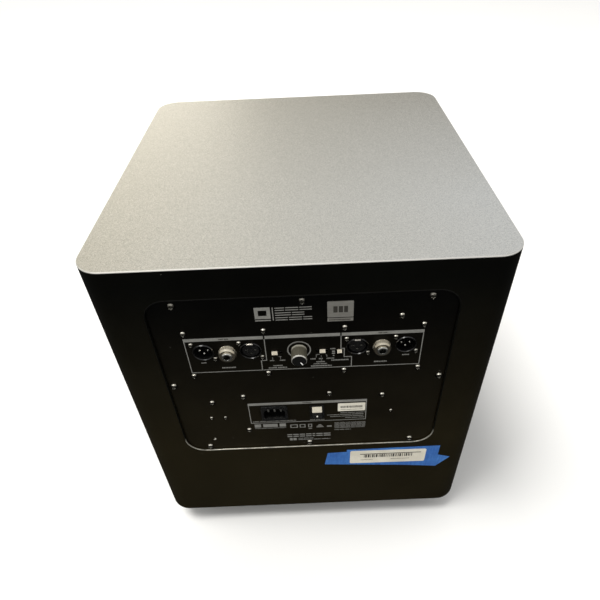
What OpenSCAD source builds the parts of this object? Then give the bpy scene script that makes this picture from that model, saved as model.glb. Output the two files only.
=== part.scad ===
// Powered studio subwoofer: down-firing ten-inch driver, folded slot port, amplifier plate on the back.
// Row frame: +Z up, front faces -Y, the amplifier plate faces +Y, origin at the bottom centre of the box.
// All sizes in millimetres. Heights on the back are counted from a datum just below the cabinet.

/* [Cabinet] */
// Outside width of the cabinet
cabinet_width = 381; // [300:1:460]
// Outside depth of the cabinet
cabinet_depth = 396; // [320:1:480]
// Height of the cabinet without its feet
cabinet_height = 396; // [320:1:480]
// Radius of the four vertical corners
corner_radius = 26; // [10:1:40]
// Thickness of the boards
board = 18; // [12:1:25]
// Thickness of the grey lid on top
lid_thickness = 1.2; // [1:0.1:4]
// Bevel round the lid's upper edge
lid_bevel = 0.7; // [0.2:0.1:1.1]
// Height of the feet
foot_height = 34; // [20:1:50]
// Radius of a foot where it meets the cabinet
foot_radius = 21; // [12:1:30]
// Distance of each foot's centre from the cabinet's sides
foot_inset = 52; // [35:1:80]

/* [Amplifier plate] */
// Width of the plate
plate_width = 278; // [200:1:320]
// Height of the plate
plate_height = 226; // [160:1:280]
// Height of the plate's centre above the datum
plate_centre = 251; // [180:0.1:280]
// Radius of the plate's corners
plate_corner = 20; // [5:1:30]
// Thickness of the plate
plate_thickness = 3; // [1.5:0.5:5]
// How deep the plate lies below the back face
plate_recess = 2; // [0:0.5:4]
// Width of the rebate the plate is screwed to
plate_ledge = 11; // [8:1:20]
// Distance from the plate to the boards behind it
board_gap = 26; // [20:1:40]

/* [Controls] */
// Height of the row of sockets and controls
row_height = 298.3; // [240:0.1:320]
// Radius of the level knob
knob_radius = 7.5; // [5:0.1:12]
// How far the knob stands out of the plate
knob_length = 15; // [8:0.5:25]
// Direction of the knob's pointer at rest, counted from upright as seen from behind
knob_angle = 148; // [0:1:150]
// Radius of the printed arc round the knob
arc_radius = 10.8; // [8:0.1:16]
// Travel of the slide switches
switch_travel = 4; // [2:0.5:6]

/* [Driver] */
// Radius of the driver's flange
driver_radius = 129; // [100:1:160]
// Radius of the driver's cut-out in the bottom board
cutout_radius = 118; // [90:1:150]
// Distance of the driver's axis behind the cabinet's middle
driver_offset = 10; // [0:1:20]
// Outer radius of the cone
cone_radius = 92; // [70:1:120]
// Radius of the magnet
magnet_radius = 75; // [50:1:100]

/* [Port] */
// Overall width of the port's stadium-shaped air path
port_width = 220; // [120:1:300]
// Height of the port's air path
port_height = 24; // [14:1:40]
// Height of the port's centre above the cabinet's underside
port_centre = 42; // [34:1:80]
// Radius of the flare round the port's mouth
port_flare_radius = 10; // [4:1:16]
// Height the folded port reaches inside, above the cabinet's underside
port_top = 300; // [150:1:340]

/* [Hidden] */
w2 = cabinet_width / 2;
z0 = foot_height;
datum = foot_height - 2.4;
z_top = foot_height + cabinet_height;
proud = knob_length - plate_recess;
y_front = -(cabinet_depth + proud) / 2;
y_back = y_front + cabinet_depth;
y_plate = y_back - plate_recess;
y_inner = y_plate - plate_thickness;
y_pcb = y_inner - board_gap;
y_driver = y_front + cabinet_depth / 2 + driver_offset;
inner_w = cabinet_width - 2 * board;
inner_d = cabinet_depth - 2 * board;
y_mid = y_front + cabinet_depth / 2;
plate_low = plate_centre - plate_height / 2;
wall = 2.4;
eps = 0.01;

// The socket row from left to right as seen from behind: x of each centre
male_x = [96.3, -96.3];
female_x = [51.2, -50.2];
jack_x = [73.4, -73.4];
knob_x = 5.3;
knob_z = 296.3;
standby = [28.8, 293.7];
crossover = [-17, 293.8];
polarity = [-33.3, 292.6];
inlet = [36.3, 200.6];
power = [-9.7, 200.2];
edge_screws = [[114.5, 357], [0, 357], [-114.5, 357], [134, 250.5], [-134, 250.5],
               [114.5, 142.6], [0, 142.6], [-114.5, 142.6]];
upper_screws = [[110.9, 322.9], [37, 322.9], [-37.9, 322.9], [-110.9, 322.9],
                [110.9, 264.8], [37, 264.8], [-37.9, 264.8], [-110.9, 264.8]];
lower_screws = [[66.5, 229.4], [-23, 229.4], [66.5, 171.2]];
sink_screws = [[-78.3, 223.7], [99.9, 221.6], [-89.5, 335.1]];
small_screws = [[104.9, 195.1], [89.9, 195.1], [-89.3, 196.1]];
// Offset of a socket's two fixing screws from its centre
ear = [10.2, 9.8];

// ---- helpers -------------------------------------------------------------------------------

// Places a piece on the back: local x to the right as seen from behind, y up, z out of the plate
module back(p, y = y_plate) {
  translate([p[0], y, datum + p[1]]) rotate([90, 0, 180]) children();
}

// Rounded rectangle with true arcs at its corners
module rounded(w, h, r, fn = 48) {
  square([w - 2 * r, h], center = true);
  square([w, h - 2 * r], center = true);
  for (x = [-1, 1], y = [-1, 1]) translate([x * (w / 2 - r), y * (h / 2 - r)]) circle(r, $fn = fn);
}

// Stadium with its long side along x
module stadium(w, h, fn = 48) {
  square([w - h, h], center = true);
  for (x = [-1, 1]) translate([x * (w - h) / 2, 0]) circle(h / 2, $fn = fn);
}

// Upright wall ring of the cabinet seen from above
module wall_ring() {
  difference() {
    translate([0, y_mid]) rounded(cabinet_width, cabinet_depth, corner_radius, 64);
    translate([0, y_mid]) square([inner_w, inner_d], center = true);
  }
}

// Pan head with a cross recess, head standing on z = 0, shank below
module pan_screw(head_r, head_h, shank_r, shank) {
  difference() {
    union() {
      cylinder(h = head_h * 0.2, r = head_r, $fn = 28);
      translate([0, 0, head_h * 0.2 - eps])
        cylinder(h = head_h * 0.45, r1 = head_r, r2 = head_r * 0.84, $fn = 28);
      translate([0, 0, head_h * 0.65 - 2 * eps])
        cylinder(h = head_h * 0.35, r1 = head_r * 0.84, r2 = head_r * 0.5, $fn = 28);
    }
    translate([0, 0, head_h * 0.5]) cylinder(h = head_h, r = head_r * 0.3, $fn = 24);
    for (a = [0, 90]) rotate([0, 0, a]) translate([-head_r * 0.5, -head_r * 0.11, head_h * 0.45])
      cube([head_r, head_r * 0.22, head_h]);
  }
  translate([0, 0, -shank]) cylinder(h = shank + eps, r = shank_r, $fn = 20);
}

// Ring about z cut from a closed profile
module ring(r_in, r_out, h, fn = 64) {
  difference() {
    cylinder(h = h, r = r_out, $fn = fn);
    translate([0, 0, -1]) cylinder(h = h + 2, r = r_in, $fn = fn);
  }
}

// ---- cabinet -------------------------------------------------------------------------------

module wall_part(y_from, y_to) {
  intersection() {
    translate([0, 0, z0]) linear_extrude(cabinet_height - lid_thickness) wall_ring();
    translate([-w2 - 1, y_from, z0 - 1])
      cube([cabinet_width + 2, y_to - y_from, cabinet_height + 2]);
  }
}

// Front board with both front corners; the port's trim and the status light are let into it
module front_panel() {
  flange = port_flare_radius + 4;
  color([0.05, 0.05, 0.05]) difference() {
    wall_part(y_front - 1, y_front + corner_radius);
    translate([0, y_front + 3, z0 + port_centre]) rotate([90, 0, 0])
      linear_extrude(4) stadium(port_width + 2 * flange + 0.6, port_height + 2 * flange + 0.6);
    translate([0, y_front + board + 1, z0 + port_centre]) rotate([90, 0, 0])
      linear_extrude(board + 2) stadium(port_width + 2 * wall + 5.6, port_height + 2 * wall + 5.6);
    translate([0, y_front + board + 1, z0 + 352]) rotate([90, 0, 0])
      cylinder(h = board + 2, r = 3.1, $fn = 32);
  }
}

// Back board with both rear corners and the rebated opening for the amplifier plate
module back_panel() {
  color([0.05, 0.05, 0.05]) difference() {
    wall_part(y_back - corner_radius, y_back + 1);
    back([0, plate_centre], y_back - plate_recess - plate_thickness - 2)
      linear_extrude(20) rounded(plate_width + 1, plate_height + 1, plate_corner + 0.5);
    back([0, plate_centre], y_back - 40)
      linear_extrude(60) rounded(plate_width - 2 * plate_ledge, plate_height - 2 * plate_ledge, 10);
    for (p = edge_screws) back(p, y_back - board + 2) cylinder(h = board, r = 1.7, $fn = 20);
  }
}

module side_panel(side) {
  translate([side * (w2 - board / 2), y_mid, z0 + (cabinet_height - lid_thickness) / 2])
    cube([board, cabinet_depth - 2 * corner_radius, cabinet_height - lid_thickness], center = true);
}
module left_panel() { color([0.05, 0.05, 0.05]) side_panel(-1); }
module right_panel() { color([0.05, 0.05, 0.05]) side_panel(1); }

foot_spots = [for (x = [-1, 1], y = [-1, 1])
  [x * (w2 - foot_inset), y_mid + y * (cabinet_depth / 2 - foot_inset)]];
driver_bolts = [for (k = [0:7]) [123.5 * cos(22.5 + 45 * k), y_driver + 123.5 * sin(22.5 + 45 * k)]];

// Bottom board with the driver's cut-out and rebate, screw holes for the driver and the feet
module bottom_panel() {
  color([0.08, 0.07, 0.06]) difference() {
    translate([-inner_w / 2, y_mid - inner_d / 2, z0]) cube([inner_w, inner_d, board]);
    translate([0, y_driver, z0 - 1]) cylinder(h = board + 2, r = cutout_radius, $fn = 96);
    translate([0, y_driver, z0 - 1]) cylinder(h = 7, r = driver_radius + 0.6, $fn = 96);
    for (p = driver_bolts) translate([p[0], p[1], z0 + 5]) cylinder(h = 11, r = 1.9, $fn = 20);
    for (p = foot_spots) translate([p[0], p[1], z0 - 1]) cylinder(h = 15, r = 2, $fn = 20);
  }
}

module top_board() {
  color([0.55, 0.45, 0.32])
    translate([-inner_w / 2, y_mid - inner_d / 2, z_top - lid_thickness - board])
      cube([inner_w, inner_d, board]);
}

// Thin grey lid over the whole top, its upper edge bevelled
module top_lid() {
  r = corner_radius;
  t = lid_thickness;
  c = lid_bevel;
  profile_x = [[-w2, 0], [w2, 0], [w2, t - c], [w2 - c, t], [-w2 + c, t], [-w2, t - c]];
  d2 = cabinet_depth / 2;
  profile_y = [[-d2, 0], [d2, 0], [d2, t - c], [d2 - c, t], [-d2 + c, t], [-d2, t - c]];
  color([0.66, 0.66, 0.64]) translate([0, y_mid, z_top - t]) {
    translate([0, d2 - r, 0]) rotate([90, 0, 0]) linear_extrude(cabinet_depth - 2 * r)
      polygon(profile_x);
    translate([-w2 + r, 0, 0]) rotate([90, 0, 90]) linear_extrude(cabinet_width - 2 * r)
      polygon(profile_y);
    for (x = [-1, 1], y = [-1, 1]) translate([x * (w2 - r), y * (d2 - r), 0]) {
      cylinder(h = t - c, r = r, $fn = 64);
      translate([0, 0, t - c]) cylinder(h = c, r1 = r, r2 = r - c, $fn = 64);
    }
  }
}

// Upright brace with a round window, glued between the side boards
module window_brace() {
  color([0.6, 0.48, 0.34]) translate([0, -62, z0 + 140]) rotate([90, 0, 0])
    linear_extrude(15) difference() {
      translate([-inner_w / 2, 0]) square([inner_w, cabinet_height - 140 - lid_thickness - board]);
      translate([0, 118]) circle(82, $fn = 64);
      for (x = [-1, 1]) translate([x * 130, 118]) circle(20, $fn = 32);
    }
}

// Four feet: a turned stem with a rubber-like flared sole, hollow for the screw
module feet() {
  color([0.07, 0.07, 0.07]) for (p = foot_spots) translate([p[0], p[1], 0]) rotate_extrude($fn = 48)
    polygon([[2.3, 9], [7, 9], [7, 0], [foot_radius - 5, 0], [foot_radius - 3.4, 1],
             [foot_radius - 2.6, 6], [foot_radius, foot_height - 4],
             [foot_radius, foot_height], [2.3, foot_height]]);
}

module foot_screws() {
  color([0.35, 0.35, 0.36]) for (p = foot_spots) translate([p[0], p[1], 9]) rotate([180, 0, 0])
    pan_screw(4.6, 3, 1.9, foot_height - 9 + 13);
}

// Damping wadding on the two side boards and under the top
module wadding() {
  color([0.86, 0.86, 0.82]) for (s = [-1, 1])
    translate([s * (inner_w / 2 - 10) - 10, -30, z0 + 150]) rotate([90, 0, 90])
      linear_extrude(20) translate([60, 80]) rounded(140, 170, 14, 24);
}

// Trim in the front board: a stadium-shaped mouth with a quarter-round flare all round
module port_mouth() {
  f = port_flare_radius;
  h2 = port_height / 2;
  arc = [for (a = [0:9:90]) [h2 + f - f * cos(a), f * sin(a) - f]];
  lip = concat(arc, [[h2 + f + 4, 0], [h2 + f + 4, -3], [h2 + wall + 2.6, -3],
                     [h2 + wall + 2.6, -board], [h2, -board]]);
  run = port_width - port_height;
  color([0.06, 0.06, 0.06]) translate([0, y_front, z0 + port_centre]) rotate([90, 0, 0]) {
    for (s = [0, 1]) mirror([s, 0, 0]) translate([run / 2, 0, 0]) rotate([0, 0, -90])
      rotate_extrude(angle = 180, $fn = 64) polygon(lip);
    for (s = [0, 1]) mirror([0, s, 0]) translate([-run / 2, 0, 0]) rotate([90, 0, 90])
      linear_extrude(run) polygon(lip);
  }
}

// Section of the port's duct
module duct_section() {
  difference() {
    stadium(port_width + 2 * wall, port_height + 2 * wall);
    stadium(port_width, port_height);
  }
}

// Duct: short straight run from the mouth, a right-angle bend, then straight up the front board
module port_duct() {
  bend = port_height / 2 + 8;
  y_in = y_front + board;
  color([0.09, 0.09, 0.09]) {
    translate([0, y_in + 4, z0 + port_centre]) rotate([90, 0, 0]) linear_extrude(4) duct_section();
    translate([0, y_in + 4, z0 + port_centre + bend]) rotate([0, 90, 0])
      rotate_extrude(angle = 90, $fn = 96) translate([bend, 0]) rotate([0, 0, 90]) duct_section();
    translate([0, y_in + 4 + bend, z0 + port_centre + bend])
      linear_extrude(port_top - port_centre - bend) duct_section();
  }
}

// Small lens for the status light in the front board
module status_lens() {
  color([0.85, 0.87, 0.9]) translate([0, y_front, z0 + 352]) rotate([-90, 0, 0]) {
    translate([0, 0, 0.2]) cylinder(h = 14, r = 3, $fn = 32);
    translate([0, 0, 14]) cylinder(h = 3, r = 2.4, $fn = 32);
  }
}

// ---- amplifier plate -----------------------------------------------------------------------

// Straight-sided window for a switch
module window(p, w, h, deep = plate_thickness + 2) {
  back(p, y_inner - 1) linear_extrude(deep) square([w, h], center = true);
}

all_board_screws = concat(upper_screws, lower_screws, sink_screws);

// Flat plate with every hole for screws, sockets and controls
module amp_plate() {
  color([0.05, 0.05, 0.05]) difference() {
    back([0, plate_centre], y_inner)
      linear_extrude(plate_thickness) rounded(plate_width, plate_height, plate_corner);
    for (p = edge_screws) back(p, y_inner - 1) cylinder(h = 5, r = 2, $fn = 20);
    for (p = all_board_screws) back(p, y_inner - 1) cylinder(h = 5, r = 1.6, $fn = 20);
    for (p = small_screws) back(p, y_inner - 1) cylinder(h = 5, r = 1.3, $fn = 20);
    for (x = concat(male_x, female_x), s = [-1, 1])
      back([x + s * ear[0], row_height + s * ear[1]], y_inner - 1)
        cylinder(h = 5, r = 1.5, $fn = 20);
    for (x = male_x) back([x, row_height], y_inner - 1) cylinder(h = 5, r = 10.4, $fn = 64);
    for (x = female_x) back([x, row_height], y_inner - 1) cylinder(h = 5, r = 10.7, $fn = 64);
    for (x = jack_x) back([x, row_height - 1.3], y_inner - 1) cylinder(h = 5, r = 5.4, $fn = 48);
    back([knob_x, knob_z], y_inner - 1) cylinder(h = 5, r = 4.1, $fn = 48);
    window([standby[0] - switch_travel / 2, standby[1]], 6.4 + switch_travel, 4.2);
    window(crossover, 6.4 + 1.5 * switch_travel, 4.2);
    window([polarity[0], polarity[1] - switch_travel / 2], 5.4, 4.2 + switch_travel);
    window(power, 13.2, 18.8);
    window(inlet, 25.8, 20.4);
  }
}

module plate_gasket() {
  color([0.1, 0.1, 0.1]) back([0, plate_centre], y_inner - 2) linear_extrude(2) difference() {
    rounded(plate_width - 1, plate_height - 1, plate_corner - 0.5);
    rounded(plate_width - 2 * plate_ledge + 2, plate_height - 2 * plate_ledge + 2, 11);
    for (p = edge_screws) translate([-p[0], p[1] - plate_centre]) circle(2, $fn = 20);
  }
}

// Screws round the plate's edge, into the back board
module edge_screws() {
  color([0.08, 0.08, 0.08]) for (p = edge_screws) back(p) pan_screw(3.5, 2.4, 1.6, 13.5);
}

// Screws through the plate into the spacers and the heat sink behind it
module panel_screws() {
  color([0.08, 0.08, 0.08]) for (p = all_board_screws) back(p) pan_screw(3, 2.2, 1.4, 10);
}

module small_screws() {
  color([0.1, 0.1, 0.1]) for (p = small_screws) back(p) pan_screw(2, 1.4, 1.05, 8);
}

// Pairs of screws that hold the round sockets
module socket_screws() {
  color([0.1, 0.1, 0.1]) for (x = concat(male_x, female_x), s = [-1, 1])
    back([x + s * ear[0], row_height + s * ear[1]]) pan_screw(2.6, 1.9, 1.25, 7);
}

// Printed bar from one corner to the other, in plate coordinates
module bar(x0, z_0, x1, z_1, h = 0.15) {
  back([(x0 + x1) / 2, (z_0 + z_1) / 2]) translate([0, 0, h / 2])
    cube([abs(x1 - x0), abs(z_1 - z_0), h], center = true);
}

// Grey print: header bars, frames with their stepped dividers, blank block, arc round the knob
module panel_print() {
  t = 0.8;
  color([0.6, 0.6, 0.58]) {
    bar(112.5, 312.7, 38.1, 316.6);
    bar(36.6, 312.7, -33.7, 316.6);
    bar(-35.2, 312.7, -112, 316.6);
    bar(112.5, 269.4, 112.5 - t, 312.7);
    bar(112.5 - t, 269.4, -112 + t, 269.4 + t);
    bar(-112, 269.4, -112 + t, 312.7);
    bar(37.6, 283.8, 37.6 - t, 312.7);
    bar(42.9, 283.8 - t, 37.6 - t, 283.8);
    bar(42.9, 269.4 + t, 42.9 - t, 283.8 - t);
    bar(-34.2, 295.4, -34.2 - t, 312.7);
    bar(-34.2 - t, 295.4, -38.2, 295.4 + t);
    bar(-38.2 + t, 283.8 + t, -38.2, 295.4);
    bar(-38.2 + t, 283.8, -45.4, 283.8 + t);
    bar(-45.4 + t, 269.4 + t, -45.4, 283.8);
    bar(63.5, 213.7, -62.9, 217.5);
    bar(63.5, 182.2, 63.5 - t, 213.7);
    bar(63.5 - t, 182.2, -62.9 + t, 182.2 + t);
    bar(-62.9, 182.2, -62.9 + t, 213.7);
    back([35.9, 344.8]) linear_extrude(0.15) difference() {
      square([14.2, 13.6], center = true);
      square([7.6, 6.4], center = true);
    }
    bar(43, 335.4, 28.8, 336.6);
    bar(27, 335.8, 26.2, 351.2);
    back([knob_x, knob_z]) difference() {
      ring(arc_radius - 0.55, arc_radius + 0.55, 0.15);
      translate([0, -arc_radius - 1, 0]) rotate([0, 0, 45]) cube([15, 15, 3], center = true);
    }
  }
}

// Thin blank name plate in two parts with a gap between
module name_badge() {
  color([0.72, 0.72, 0.7]) {
    back([-33.8, 346.2]) linear_extrude(0.6) rounded(23.4, 18.8, 0.8, 24);
    back([-33.8, 333.8]) linear_extrude(0.6) rounded(23.4, 3.6, 0.6, 24);
  }
}

// ---- sockets -------------------------------------------------------------------------------

pin_spots = [[-4.05, 0], [4.05, 0], [0, -4.2]];
socket_depth = plate_thickness + board_gap;

// Shared body of a round socket: flange behind the plate, barrel to the board, collar in front
module socket_body(collar) {
  translate([0, 0, -socket_depth]) cylinder(h = board_gap, r = 12.2, $fn = 64);
  translate([0, 0, -plate_thickness - 4]) linear_extrude(4) difference() {
    rounded(26, 26, 3, 24);
    for (s = [-1, 1]) translate([-s * ear[0], s * ear[1]]) circle(1.3, $fn = 20);
  }
  translate([0, 0, -plate_thickness - eps]) cylinder(h = plate_thickness + 0.7, r = collar, $fn = 64);
  translate([0, 0, 0.6]) cylinder(h = 0.9, r1 = collar, r2 = collar - 0.5, $fn = 64);
}

module male_sockets() {
  color([0.07, 0.07, 0.07]) for (x = male_x) back([x, row_height]) difference() {
    socket_body(10.3);
    translate([0, 0, -18]) cylinder(h = 20, r = 9.1, $fn = 64);
    translate([0, 0, 0.9]) cylinder(h = 0.8, r1 = 9.1, r2 = 9.6, $fn = 64);
    for (p = pin_spots) translate([p[0], p[1], -socket_depth - 1]) cylinder(h = 15, r = 1.15, $fn = 24);
    translate([-1.4, -10.2, -18]) cube([2.8, 2.4, 14]);
  }
}

// Shell with a bore and a slot for the latch, and the insert inside it with its three holes
module female_sockets() {
  color([0.07, 0.07, 0.07]) for (x = female_x) back([x, row_height]) {
    difference() {
      socket_body(10.6);
      translate([0, 0, -15]) cylinder(h = 17, r = 9.5, $fn = 64);
      translate([0, 0, 0.9]) cylinder(h = 0.8, r1 = 9.5, r2 = 9.9, $fn = 64);
      translate([-3.4, 8, -12]) cube([6.8, 3.2, 14]);
    }
    translate([0, 0, -14.95]) difference() {
      cylinder(h = 15.15, r = 7.9, $fn = 64);
      for (p = pin_spots) translate([p[0], p[1], 0.95]) cylinder(h = 16, r = 1.6, $fn = 24);
    }
  }
}

// Pins of the male sockets and spring sleeves of the female ones
module socket_contacts() {
  color([0.8, 0.78, 0.7]) {
    for (x = male_x, p = pin_spots) back([x, row_height]) translate([p[0], p[1], -socket_depth]) {
      cylinder(h = socket_depth - 2.3, r = 1.15, $fn = 24);
      translate([0, 0, socket_depth - 2.3]) cylinder(h = 0.8, r1 = 1.15, r2 = 0.6, $fn = 24);
    }
    for (x = female_x, p = pin_spots) back([x, row_height]) translate([p[0], p[1], -14])
      ring(1.2, 1.6, 12.5, 24);
  }
}

// Sprung tab that is pushed in to free a plug
module latch(x) {
  color([0.62, 0.62, 0.6]) back([x, row_height]) translate([-2.8, 0, 0]) rotate([90, 0, 90])
    linear_extrude(5.6)
      polygon([[8.3, -9], [9.8, -9], [9.8, 1], [9.5, 1.8], [8.9, 2.1], [8.3, 1.8]]);
}
module latch_left() { latch(female_x[0]); }
module latch_right() { latch(female_x[1]); }

// Quarter-inch jacks: block on the board and a threaded barrel out through the plate
module jack_sockets() {
  color([0.62, 0.62, 0.62]) for (x = jack_x) back([x, row_height - 1.3]) difference() {
    union() {
      translate([-7.2, -8, -socket_depth]) cube([14.4, 16, board_gap]);
      translate([0, 0, -plate_thickness - eps]) cylinder(h = plate_thickness + 6.9, r = 5.2, $fn = 48);
      translate([0, 0, 6.9 - eps]) cylinder(h = 0.8, r1 = 5.2, r2 = 4.5, $fn = 48);
    }
    translate([0, 0, -27]) cylinder(h = 40, r = 3.25, $fn = 48);
  }
}

// Tall notched ring nut with a conical front on each jack
module jack_nuts() {
  color([0.72, 0.71, 0.68]) for (x = jack_x) back([x, row_height - 1.3]) difference() {
    union() {
      cylinder(h = 4.4, r = 8.6, $fn = 64);
      translate([0, 0, 4.4 - eps]) cylinder(h = 1.6, r1 = 8.6, r2 = 7.4, $fn = 64);
    }
    translate([0, 0, -1]) cylinder(h = 8, r = 5.25, $fn = 48);
    for (a = [0:15:345]) rotate([0, 0, a]) translate([8.75, 0, 0.8]) cylinder(h = 3, r = 0.5, $fn = 16);
  }
}

// ---- level control -------------------------------------------------------------------------

module level_knob() {
  color([0.12, 0.12, 0.12]) back([knob_x, knob_z]) rotate([0, 0, -knob_angle]) difference() {
    union() {
      translate([0, 0, 0.6]) cylinder(h = knob_length - 1.6, r = knob_radius, $fn = 72);
      translate([0, 0, knob_length - 1 - eps])
        cylinder(h = 1, r1 = knob_radius, r2 = knob_radius - 1, $fn = 72);
    }
    translate([0, 0, -1]) cylinder(h = 12.6, r = 3.02, $fn = 40);
    translate([0, 0, -1]) cylinder(h = 3, r = 5.4, $fn = 40);
    for (a = [0:20:340]) rotate([0, 0, a + 10]) translate([knob_radius + 0.35, 0, 1.8])
      cylinder(h = knob_length, r = 0.6, $fn = 16);
    translate([-0.55, 2.2, knob_length - 0.25]) cube([1.1, 4, 1]);
  }
}

module knob_pointer() {
  color([0.95, 0.95, 0.93]) back([knob_x, knob_z]) rotate([0, 0, -knob_angle])
    translate([-0.5, 2.25, knob_length - 0.25]) cube([1, 3.9, 0.25]);
}

module pot_shaft() {
  color([0.6, 0.6, 0.58]) back([knob_x, knob_z]) rotate([0, 0, -knob_angle])
    translate([0, 0, -26]) difference() {
      cylinder(h = 37, r = 3, $fn = 40);
      translate([-0.4, -4, 31]) cube([0.8, 8, 7]);
    }
}

// Potentiometer: case on the board, bushing through the plate; the shaft runs in its bore
module pot_body() {
  color([0.5, 0.5, 0.48]) back([knob_x, knob_z]) difference() {
    union() {
      translate([-8, -9, -socket_depth]) cube([16, 18, 17]);
      translate([0, 0, -12 - eps]) cylinder(h = 11.8, r = 4, $fn = 40);
    }
    translate([0, 0, -26.5]) cylinder(h = 40, r = 3.06, $fn = 40);
  }
}

// ---- slide switches ------------------------------------------------------------------------

module switch_case(p, w, h, slot_w, slot_h) {
  back(p) difference() {
    translate([-w / 2, -h / 2, -socket_depth]) cube([w, h, board_gap]);
    translate([-slot_w / 2, -slot_h / 2, -8]) cube([slot_w, slot_h, 8]);
  }
}

module switch_bodies() {
  color([0.45, 0.45, 0.44]) {
    switch_case([standby[0] - switch_travel / 2, standby[1]], 16.4, 7.4, 6.4 + switch_travel, 4.2);
    switch_case(crossover, 19, 7.4, 6.4 + 1.5 * switch_travel, 4.2);
    switch_case([polarity[0], polarity[1] - switch_travel / 2], 6.8, 16, 5.4, 4.2 + switch_travel);
  }
}

// Ribbed actuator of a slide switch
module slider(p, w, h) {
  color([0.9, 0.88, 0.8]) back(p) difference() {
    translate([-w / 2, -h / 2, -7]) cube([w, h, 8.7]);
    for (k = [-1, 0, 1]) translate([k * w / 4 - 0.25, -h, 1.3]) cube([0.5, 2 * h, 1]);
  }
}
module standby_slider() { slider(standby, 5.4, 3.2); }
module crossover_slider() { slider(crossover, 5.4, 3.2); }
module polarity_slider() { slider(polarity, 4.4, 3.2); }

// ---- power switch and mains inlet ----------------------------------------------------------

// Frame of the rocker switch with its housing behind the plate
module power_bezel() {
  color([0.06, 0.06, 0.06]) back(power) difference() {
    union() {
      linear_extrude(1.5) rounded(15.4, 21.6, 1.2, 24);
      translate([-6.5, -9.3, -22]) cube([13, 18.6, 22 + eps]);
    }
    translate([-5.6, -9.25, -10]) cube([11.2, 18.5, 10]);
    translate([-5.6, -9.25, -eps]) cube([11.2, 18.5, 3]);
    rotate([0, 90, 0]) translate([0, 0, -8]) cylinder(h = 16, r = 1.35, $fn = 24);
  }
}

// Rocker with a shallow vee in its face and rounded ends about its axle; upper half pressed in
module power_rocker() {
  color([0.85, 0.83, 0.76]) back(power) {
    intersection() {
      translate([-5.2, 0, 0]) rotate([90, 0, 90]) linear_extrude(10.4)
        polygon([[-9, -4], [9, -4], [9, 1.5], [0, 2.3], [-9, 5.6]]);
      translate([-6, 0, 0]) rotate([0, 90, 0]) cylinder(h = 12, r = 8.85, $fn = 96);
    }
    rotate([0, 90, 0]) translate([0, 0, -6.3]) cylinder(h = 12.6, r = 1, $fn = 24);
  }
}

// Mouth of the inlet with its two sloping corners
module inlet_mouth(g = 0) {
  polygon([[-11.4 - g, -7.9 - g], [11.4 + g, -7.9 - g], [11.4 + g, 3.4], [7.2, 7.9 + g],
           [-7.2, 7.9 + g], [-11.4 - g, 3.4]]);
}

module mains_inlet() {
  color([0.06, 0.06, 0.06]) back(inlet) difference() {
    union() {
      linear_extrude(2) rounded(28.4, 23.6, 1.8, 24);
      translate([-12.8, -10.1, -24]) cube([25.6, 20.2, 24 + eps]);
    }
    translate([0, 0, -16]) linear_extrude(20) inlet_mouth();
    for (x = [-6.8, 0, 6.8]) translate([x - 1, -3, -26]) cube([2, 4, 12]);
  }
}

module inlet_pins() {
  color([0.78, 0.76, 0.7]) back(inlet) for (x = [-6.8, 0, 6.8])
    translate([x - 1, -3, -25]) cube([2, 4, 22]);
}

module rating_label() {
  color([0.93, 0.91, 0.84]) back([-46.8, 204.9]) linear_extrude(0.15) rounded(29.4, 13.4, 0.8, 24);
}

// ---- electronics ---------------------------------------------------------------------------

module input_board() {
  color([0.08, 0.26, 0.14]) translate([-118, y_pcb - 1.6, z0 + 257]) cube([236, 1.6, 85]);
}

module power_board() {
  color([0.09, 0.28, 0.15]) translate([-36, y_pcb - 1.6, z0 + 153]) cube([150, 1.6, 93]);
}

module standoffs() {
  color([0.72, 0.66, 0.42])
    for (p = concat(upper_screws, lower_screws, [sink_screws[1], sink_screws[2]]))
      back(p, y_pcb) ring(1.5, 3.2, board_gap, 24);
}

// Finned block against the plate, and a small block that clamps the rectifier
module heat_sink() {
  color([0.55, 0.55, 0.56]) {
    difference() {
      union() {
        translate([-122, y_inner - 6, z0 + 152]) cube([78, 6, 98]);
        for (k = [0:8]) translate([-122 + k * 9.5, y_inner - 34, z0 + 152]) cube([2, 28 + eps, 98]);
      }
      back(sink_screws[0], y_inner - 5) cylinder(h = 9, r = 1.5, $fn = 20);
      back(small_screws[2], y_inner - 5) cylinder(h = 9, r = 1.15, $fn = 20);
      back(sink_screws[0], y_inner - 40) cylinder(h = 36, r = 3, $fn = 20);
    }
    difference() {
      translate([84, y_pcb, z0 + 188]) cube([27, board_gap, 14]);
      for (k = [0, 1]) back(small_screws[k], y_inner - 6) cylinder(h = 9, r = 1.15, $fn = 20);
    }
  }
}

// Switching transformer: ferrite frame round a taped winding
module transformer() {
  translate([-6, y_pcb - 1.6, z0 + 205]) {
    color([0.2, 0.2, 0.2]) difference() {
      translate([-22, -30, -17]) cube([44, 30, 34]);
      translate([-15, -31, -12]) cube([30, 32, 24]);
    }
    color([0.8, 0.7, 0.2]) translate([-14.6, -29, -11.6]) cube([29.2, 29, 23.2]);
  }
}

// Two large reservoir capacitors and two smaller ones on the power board
module capacitors() {
  cans = [[92, 216, 14, 42], [58, 216, 14, 42], [92, 178, 9, 24], [66, 180, 9, 24]];
  color([0.12, 0.14, 0.2]) for (p = cans)
    translate([p[0], y_pcb - 1.6, z0 + p[1]]) rotate([90, 0, 0]) difference() {
      cylinder(h = p[3], r = p[2], $fn = 48);
      translate([0, 0, p[3] - 2.4]) ring(p[2] - 0.7, p[2] + 1, 1, 48);
    }
}

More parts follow.
